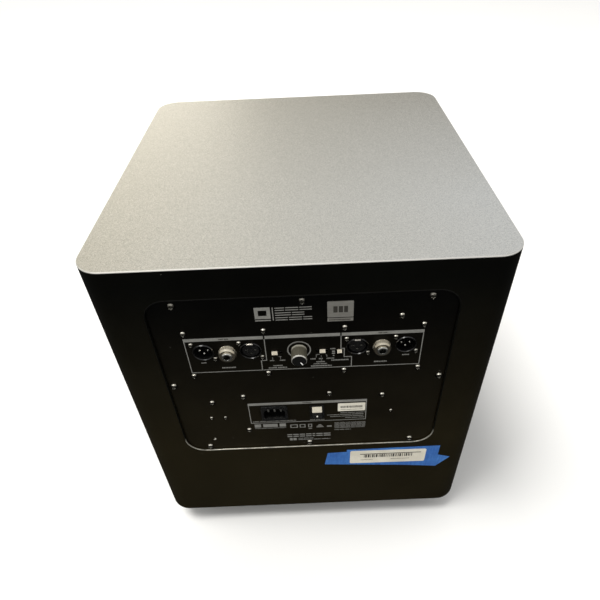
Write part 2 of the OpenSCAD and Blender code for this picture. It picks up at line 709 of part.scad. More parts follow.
// Round wire from point to point, with slightly larger balls at its corners
module wire(path, r) {
  for (k = [0:len(path) - 2]) {
    a = path[k];
    v = path[k + 1] - a;
    l = norm(v);
    translate(a) rotate([0, acos(v[2] / l), atan2(v[1], v[0])]) cylinder(h = l, r = r, $fn = 20);
    if (k > 0) translate(a) sphere(r + 0.2, $fn = 20);
  }
}

// Lead pair from the power board to the terminal block on the driver's frame
module driver_wires() {
  for (s = [0, 1]) color(s == 0 ? [0.6, 0.08, 0.06] : [0.08, 0.08, 0.08])
    wire([[-14 + 6 * s, y_pcb - 1.6, z0 + 165], [-14 + 6 * s, y_pcb - 20, z0 + 165],
          [-10 + 8 * s, y_driver + 98, z0 + 138], [-5 + 10 * s, y_driver + 88, z0 + 80.5],
          [-5 + 10 * s, y_driver + 76, z0 + 80.5]], 1.5);
  color([0.75, 0.7, 0.55]) difference() {
    translate([-9, y_driver + 60, z0 + 77]) cube([18, 16, 6.6]);
    translate([0, y_driver, z0 + 70]) cylinder(h = 20, r = 68.02, $fn = 96);
  }
}

// ---- driver --------------------------------------------------------------------------------

module at_driver() { translate([0, y_driver, z0]) children(); }

// Cast frame with eight windows; it faces down, so its cup opens downwards
module basket() {
  color([0.12, 0.12, 0.12]) at_driver() difference() {
    rotate_extrude($fn = 96) polygon([[110, 1], [driver_radius, 1], [driver_radius, 6], [117.4, 6],
      [117.4, 14], [68, 76], [68, 84], [30, 84], [30, 80], [60, 80], [60, 63.5], [70.2, 63.5],
      [110, 12.5]]);
    for (k = [0:7]) rotate([0, 0, 45 * k]) translate([0, 0, 14.5]) linear_extrude(47)
      polygon([[74, -19], [106, -31], [106, 31], [74, 19]]);
    for (k = [0:7]) rotate([0, 0, 22.5 + 45 * k]) translate([123.5, 0, -1])
      cylinder(h = 8, r = 2.4, $fn = 20);
  }
}

// Half-round rubber roll from the cone to the frame's face
module surround() {
  inner = [for (a = [180:10:360]) [102 + 7.8 * cos(a), 7.8 * sin(a)]];
  outer = [for (a = [360:-10:180]) [102 + 9 * cos(a), -0.2 + 9 * sin(a)]];
  color([0.06, 0.06, 0.06]) at_driver() rotate_extrude($fn = 96)
    polygon(concat([[89.5, 1], [94.2, 1]], inner, [[109.8, 1], [116, 1], [116, -0.2]], outer,
                   [[89.5, -0.2]]));
}

module cone() {
  color([0.3, 0.29, 0.25]) at_driver() rotate_extrude($fn = 96)
    polygon([[cone_radius, 1.05], [cone_radius, 2.5], [27, 52.6], [25.6, 52.6], [25.6, 51.4]]);
}

module dust_cap() {
  front = [for (a = [0:6:48]) [43 * sin(a), 78.2 - 43 * cos(a)]];
  rear = [for (a = [48:-6:0]) [41.8 * sin(a), 78.2 - 41.8 * cos(a)]];
  color([0.1, 0.1, 0.1]) at_driver() translate([0, 0, -3.1]) rotate_extrude($fn = 64)
    polygon(concat(front, rear));
}

// Former with the winding round its upper end
module voice_coil() {
  color([0.75, 0.4, 0.2]) at_driver() {
    translate([0, 0, 50.5]) ring(25, 25.55, 50.5);
    translate([0, 0, 80]) ring(25.55, 26.7, 20);
  }
}

// Corrugated ring that centres the coil
module spider() {
  low = [for (r = [25.6:1.06:67.9]) [r, 62.6 - (r < 61 ? 1.4 * (1 - cos((r - 25.6) * 45)) / 2 : 0)]];
  high = [for (k = [len(low) - 1:-1:0]) [low[k][0], low[k][1] + 0.8]];
  color([0.75, 0.62, 0.35]) at_driver() rotate_extrude($fn = 96) polygon(concat(low, high));
}

module magnet() {
  color([0.16, 0.16, 0.17]) at_driver() translate([0, 0, 92]) ring(36, magnet_radius, 25, 96);
}

// Top plate, and back plate with the vented pole
module motor_steel() {
  color([0.55, 0.56, 0.58]) at_driver() {
    translate([0, 0, 84]) ring(27.4, 68, 8, 96);
    rotate_extrude($fn = 96) polygon([[8, 84], [24.2, 84], [24.2, 117], [70, 117], [70, 123.5],
      [68.5, 125], [12, 125], [8, 121]]);
  }
}

module driver_screws() {
  color([0.1, 0.1, 0.1]) at_driver() for (k = [0:7]) rotate([0, 0, 22.5 + 45 * k])
    translate([123.5, 0, 1]) rotate([180, 0, 0]) pan_screw(4.6, 2.8, 1.85, 14.5);
}

// ---- tape ----------------------------------------------------------------------------------

upper_strip = [[-42.8, 125.9], [-152.3, 127.4], [-151.8, 107.6], [-43, 105.4]];
lower_strip = [[-20.4, 120.8], [-16.6, 97], [-110.2, 89], [-151.9, 83.6], [-167, 102.9],
               [-152.5, 108], [-44, 121.9]];

// Two overlapping strips of masking tape below the plate
module masking_tape() {
  color([0.16, 0.4, 0.75]) {
    back([0, 0], y_back) linear_extrude(0.2) polygon([for (p = upper_strip) [-p[0], p[1]]]);
    back([0, 0], y_back) linear_extrude(0.15) difference() {
      polygon([for (p = lower_strip) [-p[0], p[1]]]);
      polygon([for (p = upper_strip) [-p[0], p[1]]]);
    }
  }
}

module tape_label() {
  color([0.93, 0.92, 0.85]) back([-91.9, 109.8], y_back + 0.2) rotate([0, 0, -0.6])
    linear_extrude(0.15) rounded(90, 26, 2.4, 24);
}

front_panel();
back_panel();
left_panel();
right_panel();
bottom_panel();
top_board();
top_lid();
window_brace();
feet();
foot_screws();
wadding();
port_mouth();
port_duct();
status_lens();
amp_plate();
plate_gasket();
edge_screws();
panel_screws();
small_screws();
socket_screws();
panel_print();
name_badge();
male_sockets();
female_sockets();
socket_contacts();
latch_left();
latch_right();
jack_sockets();
jack_nuts();
level_knob();
knob_pointer();
pot_shaft();
pot_body();
switch_bodies();
standby_slider();
crossover_slider();
polarity_slider();
power_bezel();
power_rocker();
mains_inlet();
inlet_pins();
rating_label();
input_board();
power_board();
standoffs();
heat_sink();
transformer();
capacitors();
driver_wires();
basket();
surround();
cone();
dust_cap();
voice_coil();
spider();
magnet();
motor_steel();
driver_screws();
masking_tape();
tape_label();
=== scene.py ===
# %% [markdown]
# # A powered studio subwoofer, seen from behind
# The object is a black wooden box with a silver-grey lid, an amplifier plate let into its back,
# a slot-shaped port in its front and a ten-inch driver that fires down between four feet.
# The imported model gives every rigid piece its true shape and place. Here each piece gets its
# finish, and the few soft or printed pieces that the frame can't carry are made as meshes.

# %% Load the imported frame
import math
import random

import bmesh
import bpy
import numpy as np
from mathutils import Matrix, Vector


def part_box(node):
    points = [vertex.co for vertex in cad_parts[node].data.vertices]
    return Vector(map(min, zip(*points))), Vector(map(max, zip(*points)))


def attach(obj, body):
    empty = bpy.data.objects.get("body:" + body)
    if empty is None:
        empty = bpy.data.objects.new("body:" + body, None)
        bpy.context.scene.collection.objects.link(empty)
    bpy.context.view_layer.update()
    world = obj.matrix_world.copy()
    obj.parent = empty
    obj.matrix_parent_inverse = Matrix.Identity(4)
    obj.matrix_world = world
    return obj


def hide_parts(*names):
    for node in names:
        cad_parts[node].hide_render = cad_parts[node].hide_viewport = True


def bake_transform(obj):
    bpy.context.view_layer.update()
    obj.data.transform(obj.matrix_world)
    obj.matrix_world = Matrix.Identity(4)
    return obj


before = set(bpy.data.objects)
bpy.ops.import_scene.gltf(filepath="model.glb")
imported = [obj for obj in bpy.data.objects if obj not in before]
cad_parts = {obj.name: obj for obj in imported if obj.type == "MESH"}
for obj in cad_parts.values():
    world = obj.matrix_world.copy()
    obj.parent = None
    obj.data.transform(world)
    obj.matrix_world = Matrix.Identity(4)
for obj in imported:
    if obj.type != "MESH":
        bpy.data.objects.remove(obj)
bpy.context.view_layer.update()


# %% [markdown]
# ## Where things are
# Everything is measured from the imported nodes, in metres. The back face, the sunken plate and the
# cabinet's underside are the three levels that most pieces are placed from. Plate measures are
# kept in millimetres, with x along the row's X axis and heights counted from a datum 2.4 mm
# below the cabinet's underside, which is the level the plate was measured from.

# %% Levels of the cabinet
MM = 0.001
back_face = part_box("back_panel")[1].y
plate_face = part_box("amp_plate")[1].y
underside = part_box("bottom_panel")[0].z
datum = underside - 2.4 * MM
cone_low, cone_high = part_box("cone")
driver_x = (cone_low.x + cone_high.x) / 2
driver_y = (cone_low.y + cone_high.y) / 2
print(f"back face y {back_face:.4f}, plate y {plate_face:.4f}, underside z {underside:.4f}")
print(f"driver axis at x {driver_x:.4f}, y {driver_y:.4f}")

# %% [markdown]
# ## Camera
# The subwoofer stands on the floor and is looked down on from close behind it, with a wide lens,
# so its uprights converge. A close wide camera has to stand exactly where the eye was: a longer
# lens from further off would keep the outline but lose the strong taper.

# %% Camera
camera_data = bpy.data.cameras.new("eye")
camera_data.lens = 30.011
camera_data.sensor_width = 36
camera_data.shift_x = -0.014736
camera_data.shift_y = 0.009322
camera = bpy.data.objects.new("eye", camera_data)
camera.location = (-0.00711, 0.52035, 0.67306)
camera.rotation_euler = [math.radians(a) for a in (48.7497, 1.9266, 178.5214)]
bpy.context.scene.collection.objects.link(camera)
bpy.context.scene.camera = camera
bpy.context.scene.view_settings.view_transform = "Standard"
print("camera is", round((camera.location - Vector((0, 0, 0.23))).length, 3), "m from the middle")

# %% [markdown]
# ## Light
# Black satin shows little but what it reflects, so the light comes from a few large soft panels:
# one panel far up and a little to the viewer's left, which throws a short soft shadow to the
# right, a weak one beyond the box that the lid mirrors, and a dome of pale light for the fill.
# The dome goes dim below the horizon and the floor isn't mirrored, so the black faces stay deep
# while whatever faces up glints. A small lamp would give hard shadows that a ceiling light doesn't.

# %% Dome and soft panels
world = bpy.data.worlds.new("pale_room")
world.use_nodes = True
bpy.context.scene.world = world
room = world.node_tree
DOME = 0.62          # brightness of the dome above the horizon
BELOW = 0.05         # what is mirrored from below the horizon, where a real floor is dim
looking = room.nodes.new("ShaderNodeTexCoord").outputs["Generated"]
split = room.nodes.new("ShaderNodeSeparateXYZ")
room.links.new(looking, split.inputs[0])
climb = room.nodes.new("ShaderNodeMapRange")
for socket, value in (("From Min", -0.13), ("From Max", -0.07), ("To Min", BELOW), ("To Max", DOME)):
    climb.inputs[socket].default_value = value
room.links.new(split.outputs["Z"], climb.inputs["Value"])
room.links.new(climb.outputs[0], room.nodes["Background"].inputs["Strength"])
room.nodes["Background"].inputs["Color"].default_value = (1.0, 0.995, 0.98, 1)


def soft_panel(name, place, aim, width, depth, watts, colour=(1, 1, 1)):
    """A rectangular lamp at place that faces aim."""
    data = bpy.data.lights.new(name, "AREA")
    data.shape = "RECTANGLE"
    data.size, data.size_y, data.energy, data.color = width, depth, watts, colour
    lamp = bpy.data.objects.new(name, data)
    lamp.location = place
    toward = Vector(aim) - Vector(place)
    lamp.rotation_euler = toward.to_track_quat("-Z", "Y").to_euler()
    bpy.context.scene.collection.objects.link(lamp)
    return lamp


soft_panel("ceiling_panel", (2.5, 0.8, 8.0), (0, 0, 0), 3.0, 3.0, 520, (1, 0.985, 0.955))
soft_panel("far_glow", (0.95, -2.3, 0.98), (0, 0, 0.43), 1.2, 0.7, 10, (1, 0.95, 0.86))

# %% [markdown]
# ## Finishes
# A finish is a small tree of nodes. The same three layers come back in most of them: a slow cloud
# that shifts the colour from place to place, a fine grain that roughens the gloss, and a bump
# from that grain. Object coordinates are used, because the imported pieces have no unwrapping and
# their coordinates are already in metres, so a scale of 1000 means a grain of one millimetre.

# %% Helpers for finishes
def shade(red, green, blue):
    """A colour given as screen values from 0 to 255, as the linear colour that shaders need."""
    def linear(v):
        v = v / 255
        return v / 12.92 if v <= 0.04045 else ((v + 0.055) / 1.055) ** 2.4
    return (linear(red), linear(green), linear(blue), 1.0)


def put(tree, kind, inputs=None, **settings):
    """Adds a node, with its settings, its values and what is plugged into it."""
    node = tree.nodes.new(kind)
    for key, value in settings.items():
        setattr(node, key, value)
    for key, value in (inputs or {}).items():
        if isinstance(value, bpy.types.NodeSocket):
            tree.links.new(value, node.inputs[key])
        else:
            node.inputs[key].default_value = value
    return node


def noise(tree, where, scale, detail=3.0, rough=0.55, stretch=None):
    """Soft random values round 0.5; stretch gives the pattern another scale along each axis."""
    if stretch:
        where = put(tree, "ShaderNodeMapping", {"Vector": where, "Scale": stretch}).outputs[0]
    found = put(tree, "ShaderNodeTexNoise",
                {"Vector": where, "Scale": scale, "Detail": detail, "Roughness": rough})
    return found.outputs["Fac"]


def spread(tree, value, low, high, to_low=0.0, to_high=1.0):
    """Stretches the part of value between low and high over a new range, and clips the rest."""
    return put(tree, "ShaderNodeMapRange",
               {"Value": value, "From Min": low, "From Max": high,
                "To Min": to_low, "To Max": to_high}).outputs[0]


def sums(tree, how, a, b=0.0):
    return put(tree, "ShaderNodeMath", {0: a, 1: b}, operation=how).outputs[0]


def times(tree, a, b):
    return sums(tree, "MULTIPLY", a, b)


def two_tone(tree, fac, dark, light):
    return put(tree, "ShaderNodeMix", {0: fac, 6: dark, 7: light}, data_type="RGBA").outputs[2]


def axes(tree, where):
    """The three coordinates of a point, each on its own."""
    return put(tree, "ShaderNodeSeparateXYZ", {0: where}).outputs


def start_finish(name):
    finish = bpy.data.materials.new(name)
    finish.use_nodes = True
    tree = finish.node_tree
    where = put(tree, "ShaderNodeTexCoord").outputs["Object"]
    return finish, tree, tree.nodes["Principled BSDF"], where


def set_bump(tree, shader, height, strength, depth, edge=0.0):
    """Bump from a height; edge rounds the sharp edges' shading by that many metres."""
    bump = put(tree, "ShaderNodeBump", {"Height": height, "Strength": strength, "Distance": depth})
    if edge:
        soft = put(tree, "ShaderNodeBevel", {"Radius": edge}, samples=4)
        tree.links.new(soft.outputs[0], bump.inputs["Normal"])
    tree.links.new(bump.outputs[0], shader.inputs["Normal"])


def feed(tree, shader, colour, grain, gloss, specular=0.5):
    """Plugs in a colour, and a roughness that follows the grain between two values."""
    tree.links.new(colour, shader.inputs["Base Color"])
    tree.links.new(spread(tree, grain, 0.3, 0.7, *gloss), shader.inputs["Roughness"])
    shader.inputs["Specular IOR Level"].default_value = specular


def dust_spots(tree, where, scale, size, share):
    """Sparse round specks: 1 inside a speck and 0 elsewhere."""
    cells = put(tree, "ShaderNodeTexVoronoi", {"Vector": where, "Scale": scale})
    near = spread(tree, cells.outputs["Distance"], size, size * 0.6)
    pick = put(tree, "ShaderNodeSeparateColor", {0: cells.outputs["Color"]}).outputs[0]
    chosen = sums(tree, "GREATER_THAN", pick, 1 - share)
    return times(tree, near, chosen)


print("helpers ready")

# %% [markdown]
# ## One recipe for moulded, painted and plated pieces
# Most small pieces differ only in colour, gloss, grain and how metallic they are. One recipe with
# those as its values keeps them alike where they should be alike. The recipe can also paint a pale
# highlight on whatever faces up, a painted highlight that stands in for overhead light glinting on
# small hardware, which is what makes black screws readable on black. The pieces that the eye rests
# on, such as the lid, the film on the cabinet, the tape and the label, get their own recipes.

# %% The shared recipe
def plain_finish(name, dark, light, gloss, metal=0.0, grain=1500, cloud=25, bump=0.12,
                 depth=0.0001, edge=0.0003, specular=0.5, vary=0.07, dust=0.0, stretch=None,
                 top_highlight=0.0):
    """One finish; its last argument sets how strong a pale painted highlight is on whatever faces up."""
    finish, tree, shader, where = start_finish(name)
    slow = noise(tree, where, cloud, 4.0)
    fine = noise(tree, where, grain, 2.0, 0.6, stretch)
    tone = sums(tree, "ADD", times(tree, slow, 0.65), times(tree, fine, 0.35))
    colour = two_tone(tree, spread(tree, tone, 0.35, 0.65), dark, light)
    if dust:
        specks = dust_spots(tree, where, 130, 0.035, dust)
        colour = two_tone(tree, specks, colour, shade(150, 148, 140))
    shader.inputs["Metallic"].default_value = metal
    if top_highlight:
        # painted highlight: faces that point up are paled, as if lit from above, and made less metallic
        up = axes(tree, put(tree, "ShaderNodeNewGeometry").outputs["Normal"])[2]
        highlight_share = times(tree, spread(tree, up, 0.58, 0.84, 0.0, top_highlight),
                     spread(tree, tone, 0.35, 0.6, 0.75, 1.0))
        colour = two_tone(tree, highlight_share, colour, shade(226, 222, 208))
        tree.links.new(times(tree, sums(tree, "SUBTRACT", 1.0, highlight_share), metal),
                       shader.inputs["Metallic"])
    feed(tree, shader, colour, tone, (max(0.02, gloss - vary), min(1.0, gloss + vary)), specular)
    set_bump(tree, shader, fine, bump, depth, edge)
    return finish


# name: darker and lighter colour, gloss, and what differs from the usual grain and bump
recipes = {
    "foot_rubber": ((18, 18, 18), (34, 33, 32), 0.72, dict(grain=900, bump=0.3, specular=0.3,
        dust=0.2)),
    "zinc_screw": ((150, 150, 148), (196, 196, 190), 0.32, dict(metal=1, grain=2500, bump=0.05)),
    "port_plastic": ((14, 14, 14), (27, 27, 26), 0.48, dict(grain=1800, bump=0.25,
        specular=0.35, dust=0.1)),
    "foam": ((20, 20, 20), (40, 40, 38), 0.9, dict(grain=1200, bump=0.6, depth=0.0003,
        specular=0.2)),
    # black screws and steel nuts get a pale painted highlight on their upward flanks
    "black_screw": ((40, 39, 35), (72, 70, 64), 0.24, dict(metal=1, grain=2600, bump=0.05,
        edge=0, vary=0.05, top_highlight=0.95)),
    "socket_plastic": ((9, 9, 9), (20, 20, 19), 0.26, dict(grain=2200, bump=0.05, specular=0.7,
        edge=0.0002)),
    "contact_metal": ((215, 212, 200), (247, 245, 236), 0.2, dict(metal=1, grain=2400,
        bump=0.04, edge=0.0002)),
    "latch_metal": ((178, 172, 162), (224, 220, 210), 0.25, dict(metal=1, grain=2600, bump=0.05)),
    "jack_chrome": ((190, 190, 184), (224, 224, 218), 0.26, dict(metal=1, grain=3000,
        bump=0.03, edge=0.0003, vary=0.04)),
    "nut_steel": ((186, 174, 150), (226, 216, 194), 0.22, dict(metal=1, grain=1800, bump=0.06,
        edge=0.0002, top_highlight=0.55)),
    "shaft_steel": ((150, 150, 146), (190, 190, 186), 0.3, dict(metal=1, grain=2000,
        stretch=(1, 0.1, 1))),
    "white_mark": ((232, 232, 228), (250, 250, 247), 0.4, dict(grain=1500, bump=0.05, edge=0.0001)),
    "ivory_plastic": ((222, 212, 190), (240, 233, 216), 0.34, dict(grain=1600, bump=0.08,
        edge=0.0003)),
    "standoff_brass": ((176, 148, 78), (214, 188, 118), 0.28, dict(metal=1, grain=1500,
        stretch=(1, 0.08, 1))),
    "sink_aluminium": ((150, 152, 155), (190, 192, 194), 0.36, dict(metal=1, grain=1400,
        bump=0.2, stretch=(1, 1, 0.04))),
    "ferrite": ((48, 48, 50), (74, 73, 72), 0.62, dict(grain=1300, bump=0.3, specular=0.4)),
    "can_sleeve": ((24, 28, 44), (38, 44, 66), 0.25, dict(grain=1500, bump=0.05)),
    "cast_frame": ((22, 22, 22), (40, 40, 39), 0.46, dict(metal=0.15, grain=1100, bump=0.45,
        depth=0.0002)),
    "badge_grey": ((140, 138, 132), (172, 170, 162), 0.42, dict(metal=0.55, grain=1800,
        bump=0.05, stretch=(0.1, 1, 1))),
}
finishes = {name: plain_finish(name, shade(*dark), shade(*light), gloss, **rest)
            for name, (dark, light, gloss, rest) in recipes.items()}
print(len(finishes), "finishes from the shared recipe")

# %% [markdown]
# ## Satin film on the cabinet
# The box is fibre board wrapped in a thin black film with a very fine leather-like grain. Towards
# the floor it is painted warmer and paler, a painted reflection of a warm floor. Its mirror-like
# share is kept low: a black with the usual plastic gloss would turn grey under soft panels.

# %% The cabinet's film
# painted reflection: the film is painted warm and paler low down, as a warm floor would light it
FILM_REFLECTION_HEIGHTS = (0.41, 0.18)      # heights between which the film turns from black to warm black


def satin_film():
    finish, tree, shader, where = start_finish("cabinet_film")
    slow = noise(tree, where, 6, 5.0, 0.6)
    fine = noise(tree, where, 1700, 2.0, 0.6)
    pores = put(tree, "ShaderNodeTexVoronoi", {"Vector": where, "Scale": 950.0}).outputs["Distance"]
    height = axes(tree, where)[2]
    # painted reflection of the floor, blended in towards the bottom
    reflection_weight = spread(tree, height, *FILM_REFLECTION_HEIGHTS)
    black = two_tone(tree, spread(tree, slow, 0.35, 0.65), shade(4, 4, 2), shade(7, 8, 5))
    painted_floor_reflection = two_tone(tree, spread(tree, slow, 0.35, 0.65), shade(27, 22, 7), shade(33, 28, 12))
    colour = two_tone(tree, reflection_weight, black, painted_floor_reflection)
    specks = dust_spots(tree, where, 95, 0.022, 0.16)
    colour = two_tone(tree, specks, colour, shade(176, 174, 164))
    feed(tree, shader, colour, fine, (0.36, 0.50), 0.10)
    grain = sums(tree, "ADD", fine, times(tree, pores, 0.6))
    set_bump(tree, shader, grain, 0.25, 0.00012, 0.0006)
    return finish


finishes["cabinet_black"] = satin_film()
print("film ready")

# %% [markdown]
# ## Silver-grey lid
# The lid is lacquered with fine metal flake. Flake shows as a dense sparkle of lighter and darker
# points under half a millimetre across. Its colour also holds painted light: a painted gradient
# from side to side, painted shade toward the far edge and a painted highlight along the bevel round
# its edge, so the bevel is found by how far the surface leans from level.

# %% The lid's lacquer
def flake_lacquer():
    finish, tree, shader, where = start_finish("lid_lacquer")
    place = axes(tree, where)
    slow = noise(tree, where, 9, 4.0, 0.5)
    fine = noise(tree, where, 1500, 3.0, 0.7)
    flake = put(tree, "ShaderNodeTexVoronoi", {"Vector": where, "Scale": 1900.0})
    glint = put(tree, "ShaderNodeSeparateColor", {0: flake.outputs["Color"]}).outputs[0]
    # painted light and shade: lighter on one side, warmer on the other, darker toward the far edge
    across = spread(tree, place[0], -0.19, 0.19)
    base = two_tone(tree, across, shade(194, 196, 196), shade(180, 175, 160))
    far_shade_share = spread(tree, place[1], -0.20, 0.10, 0.0, 1.0)
    far_painted_shade = two_tone(tree, across, shade(150, 147, 139), shade(184, 179, 164))
    base = two_tone(tree, far_shade_share, far_painted_shade, base)
    cloudy = two_tone(tree, spread(tree, slow, 0.3, 0.7, 0.0, 0.10), base, shade(190, 188, 180))
    sparkle = sums(tree, "ADD", times(tree, glint, 0.55), times(tree, fine, 0.45))
    dark_flake = two_tone(tree, spread(tree, sparkle, 0.50, 0.18, 0.0, 0.42), cloudy, shade(110, 109, 104))
    colour = two_tone(tree, spread(tree, sparkle, 0.52, 0.85, 0.0, 0.5), dark_flake, shade(226, 224, 216))
    # painted highlight along the bevel, where the light would catch the edge
    up = axes(tree, put(tree, "ShaderNodeNewGeometry").outputs["Normal"])[2]
    bevel_highlight = spread(tree, up, 0.93, 0.75, 0.0, 0.75)
    colour = two_tone(tree, bevel_highlight, colour, shade(226, 224, 218))
    tree.links.new(colour, shader.inputs["Base Color"])
    tree.links.new(spread(tree, sparkle, 0.2, 0.8, 0.56, 0.40), shader.inputs["Roughness"])
    shader.inputs["Metallic"].default_value = 0.62
    shader.inputs["Specular IOR Level"].default_value = 0.4
    set_bump(tree, shader, sparkle, 0.16, 0.00008, 0.0003)
    return finish


finishes["lid_grey"] = flake_lacquer()
print("lid lacquer ready")

# %% [markdown]
# ## Powder coat on the amplifier plate
# The steel plate is powder coated: a fine, even pebble that is a little less black than the film
# round it. It has collected pale dust and one small curved scratch near its lower corner. The
# scratch is a crescent: what lies inside one circle and outside a second, shifted one.

# %% The plate's powder coat
PLATE_REFLECTION_HEIGHTS = (0.385, 0.165)   # the same for the plate
SCRATCH = ((108.0, 156.4, 2.0), (109.1, 157.0, 1.9))   # two circles: x, height and radius


def powder_coat():
    finish, tree, shader, where = start_finish("plate_powder_coat")
    slow = noise(tree, where, 14, 4.0, 0.6)
    fine = noise(tree, where, 2100, 2.0, 0.6)
    height = axes(tree, where)[2]
    # painted reflection: like the film, the plate is painted warm and paler towards the floor
    reflection_weight = spread(tree, height, *PLATE_REFLECTION_HEIGHTS)
    black = two_tone(tree, spread(tree, slow, 0.3, 0.7), shade(2, 2, 1), shade(6, 6, 4))
    painted_floor_reflection = two_tone(tree, spread(tree, slow, 0.3, 0.7), shade(25, 20, 8), shade(32, 27, 12))
    colour = two_tone(tree, reflection_weight, black, painted_floor_reflection)
    colour = two_tone(tree, dust_spots(tree, where, 150, 0.04, 0.10), colour, shade(168, 166, 158))

    def inside(x, z, radius):
        centre = (x * MM, plate_face, datum + z * MM)
        gap = put(tree, "ShaderNodeVectorMath", {0: where, 1: centre}, operation="DISTANCE")
        return spread(tree, gap.outputs["Value"], radius * MM, (radius - 0.25) * MM)

    crescent = times(tree, inside(*SCRATCH[0]), sums(tree, "SUBTRACT", 1.0, inside(*SCRATCH[1])))
    colour = two_tone(tree, crescent, colour, shade(196, 192, 182))
    feed(tree, shader, colour, fine, (0.40, 0.55), 0.10)
    set_bump(tree, shader, fine, 0.35, 0.00012, 0.0005)
    return finish


finishes["plate_black"] = powder_coat()
print("powder coat ready")

# %% [markdown]
# ## Ink, paper and tape
# Silk-screened ink is flat, slightly uneven and matt. Label stock is a warm white with faint
# fibres. Masking tape is crepe paper: close ridges across its length, which is what its bump and
# its fine light and dark streaks follow.

# %% Ink, paper and tape
def screen_ink(name, low, high):
    finish, tree, shader, where = start_finish(name)
    patchy = noise(tree, where, 700, 4.0, 0.7)
    wide = noise(tree, where, 60, 2.0)
    tone = sums(tree, "ADD", times(tree, patchy, 0.6), times(tree, wide, 0.4))
    colour = two_tone(tree, spread(tree, tone, 0.32, 0.68), low, high)
    feed(tree, shader, colour, patchy, (0.5, 0.7), 0.3)
    set_bump(tree, shader, patchy, 0.1, 0.00003)
    return finish


def label_stock():
    finish, tree, shader, where = start_finish("label_stock")
    fibre = noise(tree, where, 900, 3.0, 0.65, (1, 1, 0.35))
    wide = noise(tree, where, 45, 3.0)
    base = two_tone(tree, spread(tree, wide, 0.35, 0.65), shade(204, 199, 184), shade(220, 216, 202))
    colour = two_tone(tree, spread(tree, fibre, 0.3, 0.7, 0.0, 0.3), base, shade(188, 182, 164))
    feed(tree, shader, colour, fibre, (0.55, 0.72), 0.35)
    set_bump(tree, shader, fibre, 0.12, 0.00004)
    return finish


def crepe_tape():
    finish, tree, shader, where = start_finish("crepe_tape")
    ridges = noise(tree, where, 420, 3.0, 0.6, (1.0, 1.0, 0.16))
    wide = noise(tree, where, 26, 4.0, 0.6)
    fibres = noise(tree, where, 1500, 2.0, 0.6)
    base = two_tone(tree, spread(tree, wide, 0.32, 0.68), shade(32, 90, 168), shade(56, 122, 196))
    streak = two_tone(tree, spread(tree, ridges, 0.35, 0.7, 0.0, 0.5), base, shade(26, 74, 142))
    colour = two_tone(tree, spread(tree, fibres, 0.55, 0.8, 0.0, 0.35), streak, shade(104, 156, 208))
    feed(tree, shader, colour, ridges, (0.5, 0.68), 0.3)
    set_bump(tree, shader, sums(tree, "ADD", ridges, times(tree, fibres, 0.3)), 0.5, 0.00025)
    return finish


finishes["print_grey"] = screen_ink("grey_ink", shade(104, 104, 100), shade(134, 133, 128))
finishes["dark_ink"] = screen_ink("dark_ink", shade(40, 38, 34), shade(66, 62, 54))
finishes["label_paper"] = label_stock()
finishes["blue_tape"] = crepe_tape()
print("ink, paper and tape ready")

# %% [markdown]
# ## Wood, boards and windings inside
# What is inside never shows with the box closed, but the part is used open as well. Raw fibre
# board is speckled brown. The circuit boards are green with paler tracks in right-angled runs,
# made from two crossed sets of bands. Copper wire is wound in turns that show as fine rings.

# %% Finishes inside the cabinet
def fibre_board():
    finish, tree, shader, where = start_finish("fibre_board")
    flecks = noise(tree, where, 480, 4.0, 0.7)
    wide = noise(tree, where, 18, 3.0)
    base = two_tone(tree, spread(tree, flecks, 0.32, 0.7), shade(140, 108, 72), shade(190, 158, 116))
    colour = two_tone(tree, spread(tree, wide, 0.35, 0.65, 0.0, 0.35), base, shade(164, 130, 92))
    feed(tree, shader, colour, flecks, (0.8, 0.95))
    set_bump(tree, shader, flecks, 0.4, 0.0003, 0.0006)
    return finish


def circuit_green():
    finish, tree, shader, where = start_finish("circuit_green")
    place = axes(tree, where)
    wobble = noise(tree, where, 60, 1.0)

    def tracks(along, across):
        step = times(tree, spread(tree, sums(tree, "FRACT", times(tree, along, 22.0)), 0.5, 0.52), 0.3)
        run = sums(tree, "FRACT", sums(tree, "ADD", times(tree, across, 330.0), step))
        return sums(tree, "LESS_THAN", run, 0.35)

    pick = sums(tree, "GREATER_THAN", wobble, 0.5)
    both = put(tree, "ShaderNodeMix", {0: pick, 2: tracks(place[0], place[2]),
                                       3: tracks(place[2], place[0])})
    colour = two_tone(tree, both.outputs[0], shade(18, 74, 40), shade(34, 112, 62))
    pads = dust_spots(tree, where, 200, 0.16, 0.3)
    colour = two_tone(tree, pads, colour, shade(196, 192, 176))
    feed(tree, shader, colour, wobble, (0.2, 0.34))
    set_bump(tree, shader, both.outputs[0], 0.3, 0.00005)
    return finish


def wound_copper():
    finish, tree, shader, where = start_finish("wound_copper")
    place = axes(tree, where)
    turns = sums(tree, "PINGPONG", times(tree, place[2], 2400.0), 1.0)
    tint = noise(tree, where, 90, 3.0)
    base = two_tone(tree, spread(tree, tint, 0.3, 0.7), shade(176, 96, 50), shade(212, 132, 78))
    colour = two_tone(tree, spread(tree, turns, 0.0, 0.35), shade(92, 44, 22), base)
    feed(tree, shader, colour, tint, (0.24, 0.36))
    shader.inputs["Metallic"].default_value = 0.9
    set_bump(tree, shader, turns, 0.6, 0.0002)
    return finish


def lead_cover():
    """Red on the lead at the row's left, black on the other, tinned where the block is."""
    finish, tree, shader, where = start_finish("lead_cover")
    place = axes(tree, where)
    fine = noise(tree, where, 1300, 2.0)
    red = two_tone(tree, fine, shade(120, 16, 14), shade(170, 32, 26))
    black = two_tone(tree, fine, shade(16, 16, 16), shade(36, 36, 35))
    lead = two_tone(tree, spread(tree, place[0], -0.0035, -0.0025), red, black)
    feed(tree, shader, lead, fine, (0.4, 0.55))
    set_bump(tree, shader, fine, 0.1, 0.0001)
    return finish


